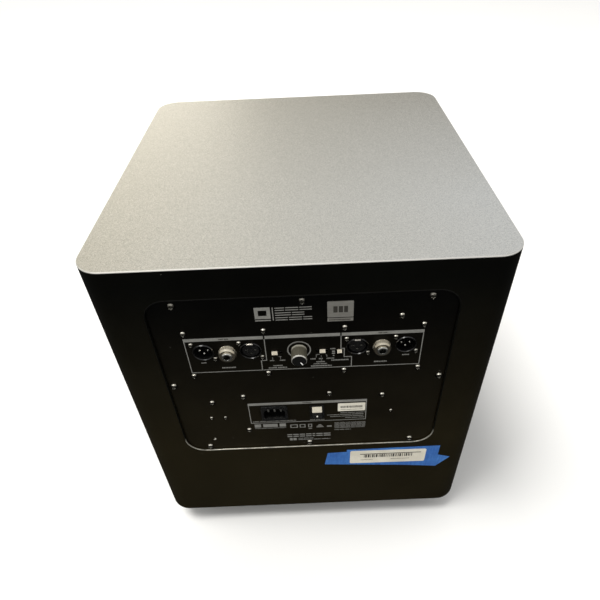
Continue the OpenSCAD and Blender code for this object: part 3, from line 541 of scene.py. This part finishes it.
finishes["raw_board"] = fibre_board()
finishes["circuit_board"] = circuit_green()
finishes["coil_copper"] = wound_copper()
finishes["wire_cover"] = lead_cover()
print("inside finishes ready")

# %% [markdown]
# ## Soft parts of the driver
# The surround is matt rubber, the cone is pressed pulp with long fibres under a thin coat, the
# spider is cloth dipped in resin, and the wadding is loose polyester. Weave is two sets of
# threads at right angles; on a round piece one set runs round the axis and the other outward.

# %% Finishes of the driver and wadding
def round_axis(tree, place):
    """Distance from the driver's axis, and the angle round it."""
    flat_x = sums(tree, "SUBTRACT", place[0], driver_x)
    flat_y = sums(tree, "SUBTRACT", place[1], driver_y)
    squares = sums(tree, "ADD", times(tree, flat_x, flat_x), times(tree, flat_y, flat_y))
    return sums(tree, "SQRT", squares), sums(tree, "ARCTAN2", flat_y, flat_x)


def rubber_skin():
    finish, tree, shader, where = start_finish("surround_rubber")
    fine = noise(tree, where, 1500, 3.0, 0.65)
    wide = noise(tree, where, 40, 3.0)
    base = two_tone(tree, spread(tree, wide, 0.35, 0.65), shade(17, 17, 17), shade(33, 32, 31))
    bloom = two_tone(tree, spread(tree, fine, 0.5, 0.8, 0.0, 0.3), base, shade(62, 60, 58))
    feed(tree, shader, bloom, fine, (0.55, 0.72), 0.35)
    set_bump(tree, shader, fine, 0.25, 0.00015)
    return finish


def pulp_cone():
    finish, tree, shader, where = start_finish("pulp_cone")
    place = axes(tree, where)
    turn = round_axis(tree, place)[1]
    fibres = noise(tree, where, 520, 5.0, 0.7)
    swirl = put(tree, "ShaderNodeCombineXYZ",
                {0: times(tree, turn, 0.35), 1: times(tree, place[2], 4.0)}).outputs[0]
    rays = noise(tree, swirl, 60, 4.0, 0.6)
    base = two_tone(tree, spread(tree, fibres, 0.3, 0.7), shade(34, 33, 30), shade(66, 63, 56))
    colour = two_tone(tree, spread(tree, rays, 0.4, 0.7, 0.0, 0.35), base, shade(86, 82, 72))
    feed(tree, shader, colour, fibres, (0.5, 0.7))
    set_bump(tree, shader, sums(tree, "ADD", fibres, times(tree, rays, 0.4)), 0.4, 0.0003)
    return finish


def dipped_cloth():
    finish, tree, shader, where = start_finish("dipped_cloth")
    out, turn = round_axis(tree, axes(tree, where))
    weft = sums(tree, "PINGPONG", times(tree, out, 1500.0), 1.0)
    warp = sums(tree, "PINGPONG", times(tree, turn, 70.0), 1.0)
    weave = times(tree, weft, warp)
    blotch = noise(tree, where, 55, 3.0)
    base = two_tone(tree, spread(tree, blotch, 0.3, 0.7), shade(176, 138, 74), shade(206, 172, 106))
    colour = two_tone(tree, weave, shade(128, 94, 44), base)
    feed(tree, shader, colour, blotch, (0.5, 0.68))
    set_bump(tree, shader, weave, 0.5, 0.0003)
    return finish


def loose_felt():
    finish, tree, shader, where = start_finish("loose_felt")
    hairs = noise(tree, where, 260, 6.0, 0.75)
    clumps = noise(tree, where, 30, 4.0)
    base = two_tone(tree, spread(tree, clumps, 0.3, 0.7), shade(206, 206, 196), shade(232, 231, 223))
    colour = two_tone(tree, spread(tree, hairs, 0.35, 0.65, 0.0, 0.5), base, shade(184, 184, 174))
    feed(tree, shader, colour, hairs, (0.88, 1.0))
    shader.inputs["Sheen Weight"].default_value = 0.4
    set_bump(tree, shader, sums(tree, "ADD", hairs, clumps), 0.7, 0.001)
    return finish


finishes["surround_rubber"] = rubber_skin()
finishes["cone_paper"] = pulp_cone()
finishes["spider_cloth"] = dipped_cloth()
finishes["wadding"] = loose_felt()
print("driver finishes ready")

# %% [markdown]
# ## Status lens, knob and power rocker
# The lens is clear plastic, so light goes through it. The knob is satin black on its cap, bright
# on its turned metal bevel and grey on its fluted side, with a pale painted highlight at its foot.
# The rocker is black, and the half where it is pressed in is painted ivory as a painted reflection
# of the light, with a small white mark on the raised black half, so its colour follows the height
# on the piece. The lip round the plate's opening is black like the film, with a painted glint
# along its lower side.

# %% Lens, knob and rocker
def clear_lens():
    finish, tree, shader, where = start_finish("clear_lens")
    fine = noise(tree, where, 800, 2.0)
    colour = two_tone(tree, fine, shade(214, 220, 228), shade(240, 243, 247))
    feed(tree, shader, colour, fine, (0.06, 0.14))
    shader.inputs["Transmission Weight"].default_value = 0.8
    shader.inputs["IOR"].default_value = 1.49
    set_bump(tree, shader, fine, 0.05, 0.00005)
    return finish


def knob_black():
    finish, tree, shader, where = start_finish("knob_black")
    fine = noise(tree, where, 1800, 3.0, 0.6)
    out = axes(tree, where)[1]

    def from_plate(start, end, most=1.0):
        """Rises to most between two distances from the plate, in millimetres."""
        return spread(tree, out, plate_face + start * MM, plate_face + end * MM, 0.0, most)

    # foot: a pale painted highlight near the plate, where light falls on the knob's foot
    cap, rim, foot = from_plate(14.8, 14.9), from_plate(13.8, 14.0), from_plate(3.6, 0.8, 0.9)
    side = two_tone(tree, fine, shade(62, 59, 49), shade(98, 95, 82))
    side = two_tone(tree, foot, side, shade(190, 187, 172))
    side = two_tone(tree, rim, side, shade(232, 230, 222))
    plated = times(tree, rim, sums(tree, "SUBTRACT", 0.9, cap))
    tree.links.new(plated, shader.inputs["Metallic"])
    colour = two_tone(tree, cap, side, shade(14, 14, 13))
    feed(tree, shader, colour, fine, (0.28, 0.4))
    set_bump(tree, shader, fine, 0.1, 0.00006, 0.0003)
    return finish


rocker_low, rocker_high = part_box("power_rocker")


def rocker_painted_reflection():
    finish, tree, shader, where = start_finish("rocker_painted_reflection")
    fine = noise(tree, where, 1600, 2.0)
    height = axes(tree, where)[2]
    middle = (rocker_low.z + rocker_high.z) / 2
    # painted reflection: the upper half is painted ivory for the light that the black rocker mirrors
    upper = spread(tree, height, middle - 0.15 * MM, middle + 0.15 * MM)
    ivory = two_tone(tree, fine, shade(204, 197, 178), shade(222, 215, 199))
    dark = two_tone(tree, fine, shade(12, 12, 12), shade(22, 22, 21))
    spot = ((rocker_low.x + rocker_high.x) / 2, rocker_high.y, middle - 4.2 * MM)
    gap = put(tree, "ShaderNodeVectorMath", {0: where, 1: spot}, operation="DISTANCE").outputs["Value"]
    mark = spread(tree, gap, 1.5 * MM, 1.3 * MM)
    dark = two_tone(tree, mark, dark, shade(214, 212, 204))
    feed(tree, shader, two_tone(tree, upper, dark, ivory), fine, (0.24, 0.36))
    set_bump(tree, shader, fine, 0.08, 0.00005, 0.0004)
    return finish


# painted glint: the lip's colour turns bright between these heights
LIP_GLINT_HEIGHTS = (datum + 162 * MM, datum + 146 * MM)   # heights between which the lip turns bright


def lip_painted_glint():
    """Black like the film, with a painted glint along the bottom of the opening."""
    finish, tree, shader, where = start_finish("lip_painted_glint")
    fine = noise(tree, where, 1500, 2.0)
    patchy = noise(tree, where, 60, 4.0, 0.7, (1, 0.2, 0.2))
    height = axes(tree, where)[2]
    low = spread(tree, height, *LIP_GLINT_HEIGHTS)
    # painted glint on the lower lip, patchy along its length
    glint_share = times(tree, low, spread(tree, patchy, 0.32, 0.56, 0.25, 1.0))
    colour = two_tone(tree, glint_share, shade(7, 7, 5), shade(206, 203, 190))
    feed(tree, shader, colour, fine, (0.25, 0.4), 0.15)
    tree.links.new(times(tree, glint_share, 0.9), shader.inputs["Metallic"])
    set_bump(tree, shader, fine, 0.05, 0.00005)
    return finish


finishes["lens"] = clear_lens()
finishes["knob_plastic"] = knob_black()
finishes["edge_gloss"] = lip_painted_glint()
finishes["rocker"] = rocker_painted_reflection()
print("lens, knob and rocker ready")

# %% [markdown]
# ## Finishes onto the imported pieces
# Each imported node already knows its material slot. A table says which finish each node takes;
# the node's mesh is left as it is and only its material slots change.

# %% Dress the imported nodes
dressing = {
    "cabinet_black": ["front_panel", "back_panel", "left_panel", "right_panel", "bottom_panel"],
    "raw_board": ["top_board", "window_brace"],
    "lid_grey": ["top_lid"],
    "foot_rubber": ["feet"],
    "zinc_screw": ["foot_screws"],
    "port_plastic": ["port_mouth", "port_duct"],
    "lens": ["status_lens"],
    "plate_black": ["amp_plate"],
    "foam": ["plate_gasket"],
    "black_screw": ["edge_screws", "panel_screws", "small_screws", "socket_screws", "driver_screws"],
    "print_grey": ["panel_print"],
    "badge_grey": ["name_badge"],
    "socket_plastic": ["male_sockets", "female_sockets", "power_bezel", "mains_inlet"],
    "contact_metal": ["socket_contacts", "inlet_pins"],
    "latch_metal": ["latch_left", "latch_right"],
    "jack_chrome": ["jack_sockets"],
    "nut_steel": ["jack_nuts"],
    "knob_plastic": ["level_knob"],
    "white_mark": ["knob_pointer"],
    "shaft_steel": ["pot_shaft", "pot_body", "switch_bodies", "motor_steel"],
    "ivory_plastic": ["standby_slider", "crossover_slider", "polarity_slider"],
    "rocker": ["power_rocker"],
    "label_paper": ["rating_label", "tape_label"],
    "circuit_board": ["input_board", "power_board"],
    "standoff_brass": ["standoffs"],
    "sink_aluminium": ["heat_sink"],
    "ferrite": ["transformer", "magnet"],
    "can_sleeve": ["capacitors"],
    "wire_cover": ["driver_wires"],
    "cast_frame": ["basket"],
    "cone_paper": ["cone", "dust_cap"],
    "coil_copper": ["voice_coil"],
    "surround_rubber": ["surround"],
    "spider_cloth": ["spider"],
    "wadding": ["wadding"],
    "blue_tape": ["masking_tape"],
}
dressed = []
for finish_name, nodes in dressing.items():
    for node_name in nodes:
        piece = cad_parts[node_name]
        if not piece.material_slots:
            piece.data.materials.append(finishes[finish_name])
        for material_slot in piece.material_slots:
            material_slot.material = finishes[finish_name]
        dressed.append(node_name)
missing = sorted(set(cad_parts) - set(dressed))
print(len(dressed), "nodes dressed, without a finish:", missing)

# %% [markdown]
# ## Making a new piece
# New pieces are plain meshes made from lists of points and faces. That is the surest way to a
# closed surface with no stray faces, which the exported meshes need. Each piece is put on the
# body it moves with when one is given, and given the material slot that its finish stands for.

# %% Helpers for new pieces
def new_piece(name, points, faces, finish, body="cabinet", smooth=True):
    mesh = bpy.data.meshes.new(name)
    mesh.from_pydata([tuple(p) for p in points], [], faces)
    mesh.materials.append(finish)
    tidy = bmesh.new()
    tidy.from_mesh(mesh)
    bmesh.ops.recalc_face_normals(tidy, faces=tidy.faces)
    tidy.to_mesh(mesh)
    tidy.free()
    if smooth:
        mesh.shade_smooth()
    piece = bpy.data.objects.new(name, mesh)
    bpy.context.scene.collection.objects.link(piece)
    if body:
        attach(piece, body)
    return piece


THIN_INK = 0.05      # how proud printed bars stand on labels and print, in millimetres
BOX_FACES = [(0, 1, 2, 3), (7, 6, 5, 4), (0, 4, 5, 1), (1, 5, 6, 2), (2, 6, 7, 3), (3, 7, 4, 0)]


def ring_faces(sections, around):
    """Joins closed sections of around points each into a ring that closes on itself."""
    faces = []
    for i in range(sections):
        here, there = i * around, (i + 1) % sections * around
        faces += [(here + k, there + k, there + (k + 1) % around, here + (k + 1) % around)
                  for k in range(around)]
    return faces


def ink_bars(name, bars, finish, level, thick=0.12):
    """Thin raised bars on the back. A bar is x, z, x, z in millimetres from the datum."""
    points, faces = [], []
    for x_a, z_a, x_b, z_b in bars:
        x_0, x_1 = sorted((x_a * MM, x_b * MM))
        z_0, z_1 = sorted((datum + z_a * MM, datum + z_b * MM))
        first = len(points)
        for y in (level - 0.02 * MM, level + thick * MM):
            points += [(x_0, y, z_0), (x_1, y, z_0), (x_1, y, z_1), (x_0, y, z_1)]
        faces += [tuple(first + k for k in face) for face in BOX_FACES]
    return new_piece(name, points, faces, finish, smooth=False)


def greeked(x_from, x_to, z_mid, height, words, letter=0.72):
    """A line of plain blocks in place of words, running from x_from down to x_to."""
    dice = random.Random(round(x_from * 10 + z_mid * 7))
    width, gap = height * letter, height * 0.24
    bars, x = [], x_from
    per_word = max(1, round((x_from - x_to) / (width + gap) / words))
    count = 0
    while x - width > x_to - 0.2:
        full = width * dice.uniform(0.75, 1.05)
        bars.append((x, z_mid - height / 2, x - full, z_mid + height / 2 * dice.choice((1.0, 0.8, 1.0))))
        count += 1
        x -= full + gap * (3.2 if words > 1 and count % per_word == 0 else 1)
    return bars


print("piece helpers ready")

# %% [markdown]
# ## Lip round the plate's opening
# The film is rolled over the routed edge of the opening, so a thin glossy lip runs round the
# plate and catches the light along its lower side, where a painted glint is added to its colour.
# It is a small round section swept along the opening's outline, with true arcs at the corners. A
# bevel on the imported panel would change that panel's mesh, so the lip is a piece of its own.

# %% The lip
def opening_outline(width, height, radius, arc_steps=10):
    """Points and outward directions round a rounded rectangle, in metres."""
    found = []
    for quarter, (sx, sz) in enumerate(((1, 1), (-1, 1), (-1, -1), (1, -1))):
        for k in range(arc_steps + 1):
            a = math.radians(90 * quarter + 90 * k / arc_steps)
            out = (math.cos(a), math.sin(a))
            found.append(((sx * (width / 2 - radius) + out[0] * radius,
                           sz * (height / 2 - radius) + out[1] * radius), out))
    return found


plate_low, plate_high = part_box("amp_plate")
gap = 1 * MM                   # the plate's opening is this much wider than the plate
lip_radius, lip_out, lip_in = 0.75 * MM, 0.55 * MM, 0.45 * MM
outline = opening_outline(plate_high.x - plate_low.x + gap, plate_high.z - plate_low.z + gap, 20.5 * MM)
plate_centre = (plate_high.z + plate_low.z) / 2
lip_points, around = [], 10
for (x, z), (out_x, out_z) in outline:
    for k in range(around):
        a = 2 * math.pi * k / around
        offset = lip_out + lip_radius * math.cos(a)
        lip_points.append((x + out_x * offset, back_face - lip_in + lip_radius * math.sin(a),
                           plate_centre + z + out_z * offset))
lip_faces = ring_faces(len(outline), around)
new_piece("opening_lip", lip_points, lip_faces, finishes["edge_gloss"])
print("lip has", len(lip_points), "points")

# %% [markdown]
# ## Print on the plate
# The real plate carries captions, a model line and approval marks in silk-screened ink. Words and
# marks are not copied: each caption becomes a row of plain blocks of the same length and height,
# which gives the plate its busy look without saying anything. The lines that lead from a switch
# to its captions are kept as thin bars.

# %% Captions in grey ink
# Rows of small blocks: from x, to x, middle height, block height, words
socket_captions = [(100.6, 95.4, 283.6, 1.5, 1), (81.6, 67.2, 275.4, 1.7, 1),
                   (-67.2, -81.0, 275.4, 1.7, 1), (-94.0, -101.0, 283.6, 1.5, 1)]
standby_captions = [(34.2, 29.4, 282.8, 1.3, 1), (24.6, 18.6, 282.8, 1.3, 1),
                    (31.4, 22.0, 275.4, 1.3, 1), (36.2, 17.2, 272.4, 1.6, 2)]
crossover_captions = [(-5.2, -10.4, 282.8, 1.5, 1), (-13.4, -18.2, 282.8, 1.5, 1),
                      (-20.8, -28.6, 282.8, 1.5, 1), (-10.8, -20.0, 278.4, 1.4, 1),
                      (-8.0, -22.6, 275.6, 1.2, 2), (-5.4, -26.0, 272.6, 1.7, 1)]
polarity_captions = [(-24.4, -30.4, 295.9, 1.5, 1), (-25.4, -42.0, 280.0, 1.7, 1)]
knob_dots = [(26.4, 25.4, 291.6, 1.0, 1)]
power_captions = [(-1.8, -17.9, 184.8, 1.2, 3), (61.0, 13.4, 185.2, 1.3, 6)]
power_captions += [(x_0, x_1, 195.2 - 3.0 * k, 1.1, 3) for k, (x_0, x_1) in enumerate(
    [(-34.8, -61.2), (-20.6, -61.0), (-23.8, -61.0), (-40.2, -61.0)])]
captions = []
for row in (socket_captions + standby_captions + crossover_captions + polarity_captions
            + knob_dots + power_captions):
    captions += greeked(*row)
# Thin bars that lead from a switch to its captions: x, z, x, z
captions += [(31.5, 283.8, 31.1, 287.4), (25.4, 288.0, 22.6, 288.4), (24.0, 285.0, 23.6, 288.0),
             (-11.0, 288.4, -14.2, 288.9), (-10.6, 284.8, -11.1, 288.9), (-15.5, 284.8, -15.9, 287.6),
             (-15.5, 279.8, -15.9, 281.6), (-20.2, 288.4, -20.7, 287.0), (-20.9, 284.8, -21.4, 287.6),
             (-26.2, 291.6, -28.9, 293.0), (-26.0, 288.8, -28.9, 290.2), (-27.0, 285.8, -28.4, 287.2),
             (-0.4, 277.4, -1.4, 278.4)]
# Three header rows by the hollow block: each word is an upper and a lower bar
header_rows = {348.9: ((24.6, 16.2), (15.2, 3.6), (2.6, -8.4)),
               343.1: ((24.6, 10.4), (9.4, -1.6)),
               337.3: ((24.6, 13.4), (12.4, 0.6), (-0.4, -8.4))}
for z_row, words in header_rows.items():
    for x_0, x_1 in words:
        captions += [(x_0, z_row + 0.9, x_1, z_row + 1.8), (x_0, z_row - 1.8, x_1, z_row - 0.9)]
ink_bars("plate_captions", captions, finishes["print_grey"], plate_face)
print(len(captions), "caption blocks")

# %% [markdown]
# The large model line, the row of marks below the power panel and the block of small print are
# made the same way: taller blocks, a few plain shapes, and a grid of tiny squares.

# %% Model line, marks and small print
lower = []
for x_block, width in ((25.0, 5.6), (18.2, 6.0), (11.0, 6.0), (3.8, 6.2), (-3.6, 3.0),
                       (-7.8, 7.2), (-16.2, 7.8)):
    lower += [(x_block, 157.6, x_block - width, 159.2), (x_block, 154.0, x_block - width, 155.6)]
lower += [(22.6, 147.2, 19.4, 151.6), (18.6, 147.2, 14.8, 151.6)]
lower += greeked(12.6, -4.4, 150.6, 1.3, 3) + greeked(12.6, -24.2, 148.0, 1.3, 4)
for x_0, x_1 in ((60.0, 53.0), (50.6, 34.6), (32.4, 25.4)):
    lower.append((x_0, 174.6, x_1, 180.2))
lower += greeked(60.0, 25.0, 172.6, 1.0, 5)
for x_mark, wide in ((20.6, 8.2), (10.2, 6.4), (0.8, 4.4)):
    lower += [(x_mark, 171.4, x_mark - wide, 172.3), (x_mark, 176.4, x_mark - wide, 177.3),
              (x_mark, 172.3, x_mark - 1.0, 176.4), (x_mark - wide + 1.0, 172.3, x_mark - wide, 176.4)]
lower += [(0.4, 168.4, -3.4, 169.6), (-8.4, 170.6, -16.4, 171.8), (-9.6, 172.6, -15.2, 173.8),
          (-10.8, 174.6, -14.0, 175.8), (-20.0, 170.8, -25.4, 173.0)]
for row in range(6):
    lower += greeked(-28.6, -62.8, 177.6 - 1.9 * row, 0.9, 6)
lower += greeked(-28.6, -47.4, 164.6, 1.2, 3)
ink_bars("plate_model_line", lower, finishes["print_grey"], plate_face)
on_headers = greeked(79.4, 69.4, 314.6, 1.5, 2) + greeked(-69.4, -79.4, 314.6, 1.5, 2)
on_headers += greeked(5.4, -5.0, 215.6, 1.5, 1)
ink_bars("header_words", on_headers, finishes["dark_ink"],
         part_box("panel_print")[1].y, THIN_INK)
badge_marks = [(-27.4, 342.6, -31.2, 350.0), (-32.2, 342.6, -36.0, 350.0), (-37.0, 342.6, -40.4, 350.0)]
badge_marks += greeked(-23.6, -43.6, 333.8, 1.3, 1)
ink_bars("badge_blocks", badge_marks, finishes["dark_ink"],
         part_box("name_badge")[1].y, THIN_INK)
print(len(lower), "blocks in the lower print,", len(on_headers), "on the header bars")

# %% [markdown]
# ## What is printed on the labels
# The rating label has a dark band of fine bars. The label on the tape has a wider bar pattern
# toward one end and two lines of small print. Both are made of random bars that encode nothing.

# %% Bars on the two labels
dice = random.Random(11)


def bar_pattern(x_from, x_to, z_0, z_1, thin=0.25, thick=0.8):
    bars, x = [], x_from
    while x > x_to + thick:
        width = dice.uniform(thin, thick)
        bars.append((x, z_0, x - width, z_1))
        x -= width + dice.uniform(thin, thick) * 0.8
    return bars


rating_marks = bar_pattern(-35.0, -59.4, 203.6, 207.2, 0.3, 0.75)
rating_marks += greeked(-35.0, -59.0, 200.8, 0.8, 4)
ink_bars("rating_label_marks", rating_marks, finishes["dark_ink"],
         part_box("rating_label")[1].y, THIN_INK)
tape_marks = bar_pattern(-63.5, -124.0, 108.6, 114.6, 0.7, 2.1) + [(-58.8, 115.2, -131.0, 116.5)]
tape_marks += greeked(-60.0, -74.0, 103.9, 0.9, 3) + greeked(-96.0, -118.0, 103.9, 0.9, 3)
ink_bars("tape_label_marks", tape_marks, finishes["dark_ink"],
         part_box("tape_label")[1].y, THIN_INK)
print(len(rating_marks), "marks on the rating label,", len(tape_marks), "on the tape label")

# %% [markdown]
# ## Surround and spider
# The cone moves in and out by eight millimetres, and the rubber roll round it and the cloth
# spider behind it stretch between the still frame and the moving coil. Each is turned from a
# profile. A blend between the two bodies would have to run outward from the axis, not along a
# line, so weights for it are worked out here from each point's distance to the axis.

# %% A turned ring and weights for a blend
def turned(name, profile, finish, turns=144):
    """Turns a closed profile of (radius, height) in millimetres about the driver's axis."""
    points = []
    for k in range(turns):
        a = 2 * math.pi * k / turns
        for radius, height in profile:
            points.append((driver_x + radius * MM * math.cos(a), driver_y + radius * MM * math.sin(a),
                           underside + height * MM))
    return new_piece(name, points, ring_faces(turns, len(profile)), finish, body=None)


def stretch_between(piece, still, moving):
    """Works out weights from 0 on the cabinet at radius still to 1 on the cone at radius moving, in
    millimetres, and prints their range.
    """
    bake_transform(piece)
    spots = np.array([v.co for v in piece.data.vertices], float)
    radius = np.hypot(spots[:, 0] - driver_x, spots[:, 1] - driver_y) / MM
    share = np.clip((still - radius) / (still - moving), 0, 1)
    share = share * share * (3 - 2 * share)
    print(f"{piece.name}: weights from {share.min():.2f} to {share.max():.2f}")


def roll_profile(centre, radius, lift, steps=22, ribs=0.0):
    """Half a circle below the lift line, with faint moulded ribs."""
    found = []
    for k in range(steps + 1):
        a = math.pi + math.pi * k / steps
        r = radius + ribs * math.cos(k * math.pi)
        found.append((centre + r * math.cos(a), lift + r * math.sin(a)))
    return found


inside_roll = roll_profile(102, 7.8, 0.0)
outside_roll = roll_profile(102, 8.9, -0.1, 44, 0.07)
roll_outline = [(89.6, 0.95), (94.2, 0.95)] + inside_roll + [(109.8, 0.95), (115.9, 0.95), (115.9, -0.15)]
roll_outline += outside_roll[::-1] + [(89.6, -0.15)]
surround_ring = turned("surround_roll", roll_outline, finishes["surround_rubber"])
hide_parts("surround")
stretch_between(surround_ring, 110.6, 93.6)

COIL_EDGE, CLAMP_EDGE, FLAT_FROM = 25.6, 67.9, 61      # radii of the spider, in millimetres
RIPPLE, CLOTH = 1.4, 0.8                               # depth of its ripples, and its thickness
low_face = []
for k in range(61):
    radius = COIL_EDGE + (CLAMP_EDGE - COIL_EDGE) * k / 60
    wave = 0.0 if radius > FLAT_FROM else \
        RIPPLE * (1 - math.cos((radius - COIL_EDGE) * math.radians(45))) / 2
    low_face.append((radius, 62.6 - wave))
spider_ring = turned("spider_cloth", low_face + [(r, z + CLOTH) for r, z in low_face[::-1]],
                     finishes["spider_cloth"])
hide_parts("spider")
stretch_between(spider_ring, 60.5, 27.0)

# %% [markdown]
# ## Wadding
# A pad of loose polyester is stapled to each side board. It is a crowned pad with rounded rims
# and a lumpy face. It is shaped by moving the points of a fine grid: the pad is stapled flat and
# carries no load, so a cloth simulation would add little but time.

# %% Wadding pads
pad_low, pad_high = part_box("wadding")


def wadding_pad(side):
    """One crowned pad against the side board at x = side."""
    wall = pad_high.x if side > 0 else pad_low.x
    thick = 20 * MM
    y_0, y_1 = pad_low.y, pad_high.y
    z_0, z_1 = pad_low.z, pad_high.z
    rows, columns = 46, 38
    dice_pad = np.random.default_rng(5 if side > 0 else 6)
    lumps = dice_pad.uniform(0, 2 * math.pi, (6, 2))
    points, faces = [], []
    for layer in (0, 1):
        for i in range(rows + 1):
            for j in range(columns + 1):
                u, v = 2 * j / columns - 1, 2 * i / rows - 1
                rim = (1 - abs(u) ** 6) * (1 - abs(v) ** 6)
                swell = rim ** 0.35
                ripple = sum(math.sin(u * (3 + k) + a) * math.sin(v * (4 + k) + b)
                             for k, (a, b) in enumerate(lumps)) / 6
                lift = thick * (0.5 - 0.48 * swell) if layer == 0 else \
                    thick * (0.5 + 0.5 * swell * (0.86 + 0.13 * ripple))
                round_off = 1 - 0.05 * (abs(u * v) ** 3)
                y = (y_0 + y_1) / 2 + u * (y_1 - y_0) / 2 * round_off
                z = (z_0 + z_1) / 2 + v * (z_1 - z_0) / 2 * round_off
                points.append((wall - math.copysign(1, side) * lift, y, z))
    per_layer = (rows + 1) * (columns + 1)

    def at(layer, i, j):
        return layer * per_layer + i * (columns + 1) + j

    for i in range(rows):
        for j in range(columns):
            faces.append((at(0, i, j), at(0, i, j + 1), at(0, i + 1, j + 1), at(0, i + 1, j)))
            faces.append((at(1, i, j), at(1, i + 1, j), at(1, i + 1, j + 1), at(1, i, j + 1)))
    rim_spots = [(0, j) for j in range(columns)] + [(i, columns) for i in range(rows)] + \
                [(rows, j) for j in range(columns, 0, -1)] + [(i, 0) for i in range(rows, 0, -1)]
    for (i, j), (m, n) in zip(rim_spots, rim_spots[1:] + rim_spots[:1]):
        faces.append((at(0, i, j), at(1, i, j), at(1, m, n), at(0, m, n)))
    return points, faces


for side, word in ((-1, "left"), (1, "right")):
    pad_points, pad_faces = wadding_pad(side)
    pad = new_piece(f"wadding_{word}", pad_points, pad_faces, finishes["wadding"])
    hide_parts("wadding")
    print(pad.name, len(pad_points), "points")

# %% [markdown]
# ## Floor
# A plain pale floor, wide enough to reach past the edges of the view. It has a faint mottle so
# that it isn't a dead flat white, and is rough enough to mirror nothing.

# %% Floor
floor_mesh = bpy.data.meshes.new("floor")
reach = 45.0
floor_mesh.from_pydata([(-reach, -reach, 0), (reach, -reach, 0), (reach, reach, 0), (-reach, reach, 0)],
                       [], [(0, 1, 2, 3)])
floor = bpy.data.objects.new("floor", floor_mesh)
bpy.context.scene.collection.objects.link(floor)
floor_finish, tree, shader, where = start_finish("pale_floor")
mottle = noise(tree, where, 3, 3.0)
pale = two_tone(tree, mottle, shade(246, 246, 245), shade(250, 250, 249))
tree.links.new(pale, shader.inputs["Base Color"])
shader.inputs["Roughness"].default_value = 0.9
shader.inputs["Specular IOR Level"].default_value = 0.1
floor_mesh.materials.append(floor_finish)
floor.visible_glossy = False
print("floor reaches", reach, "m each way")
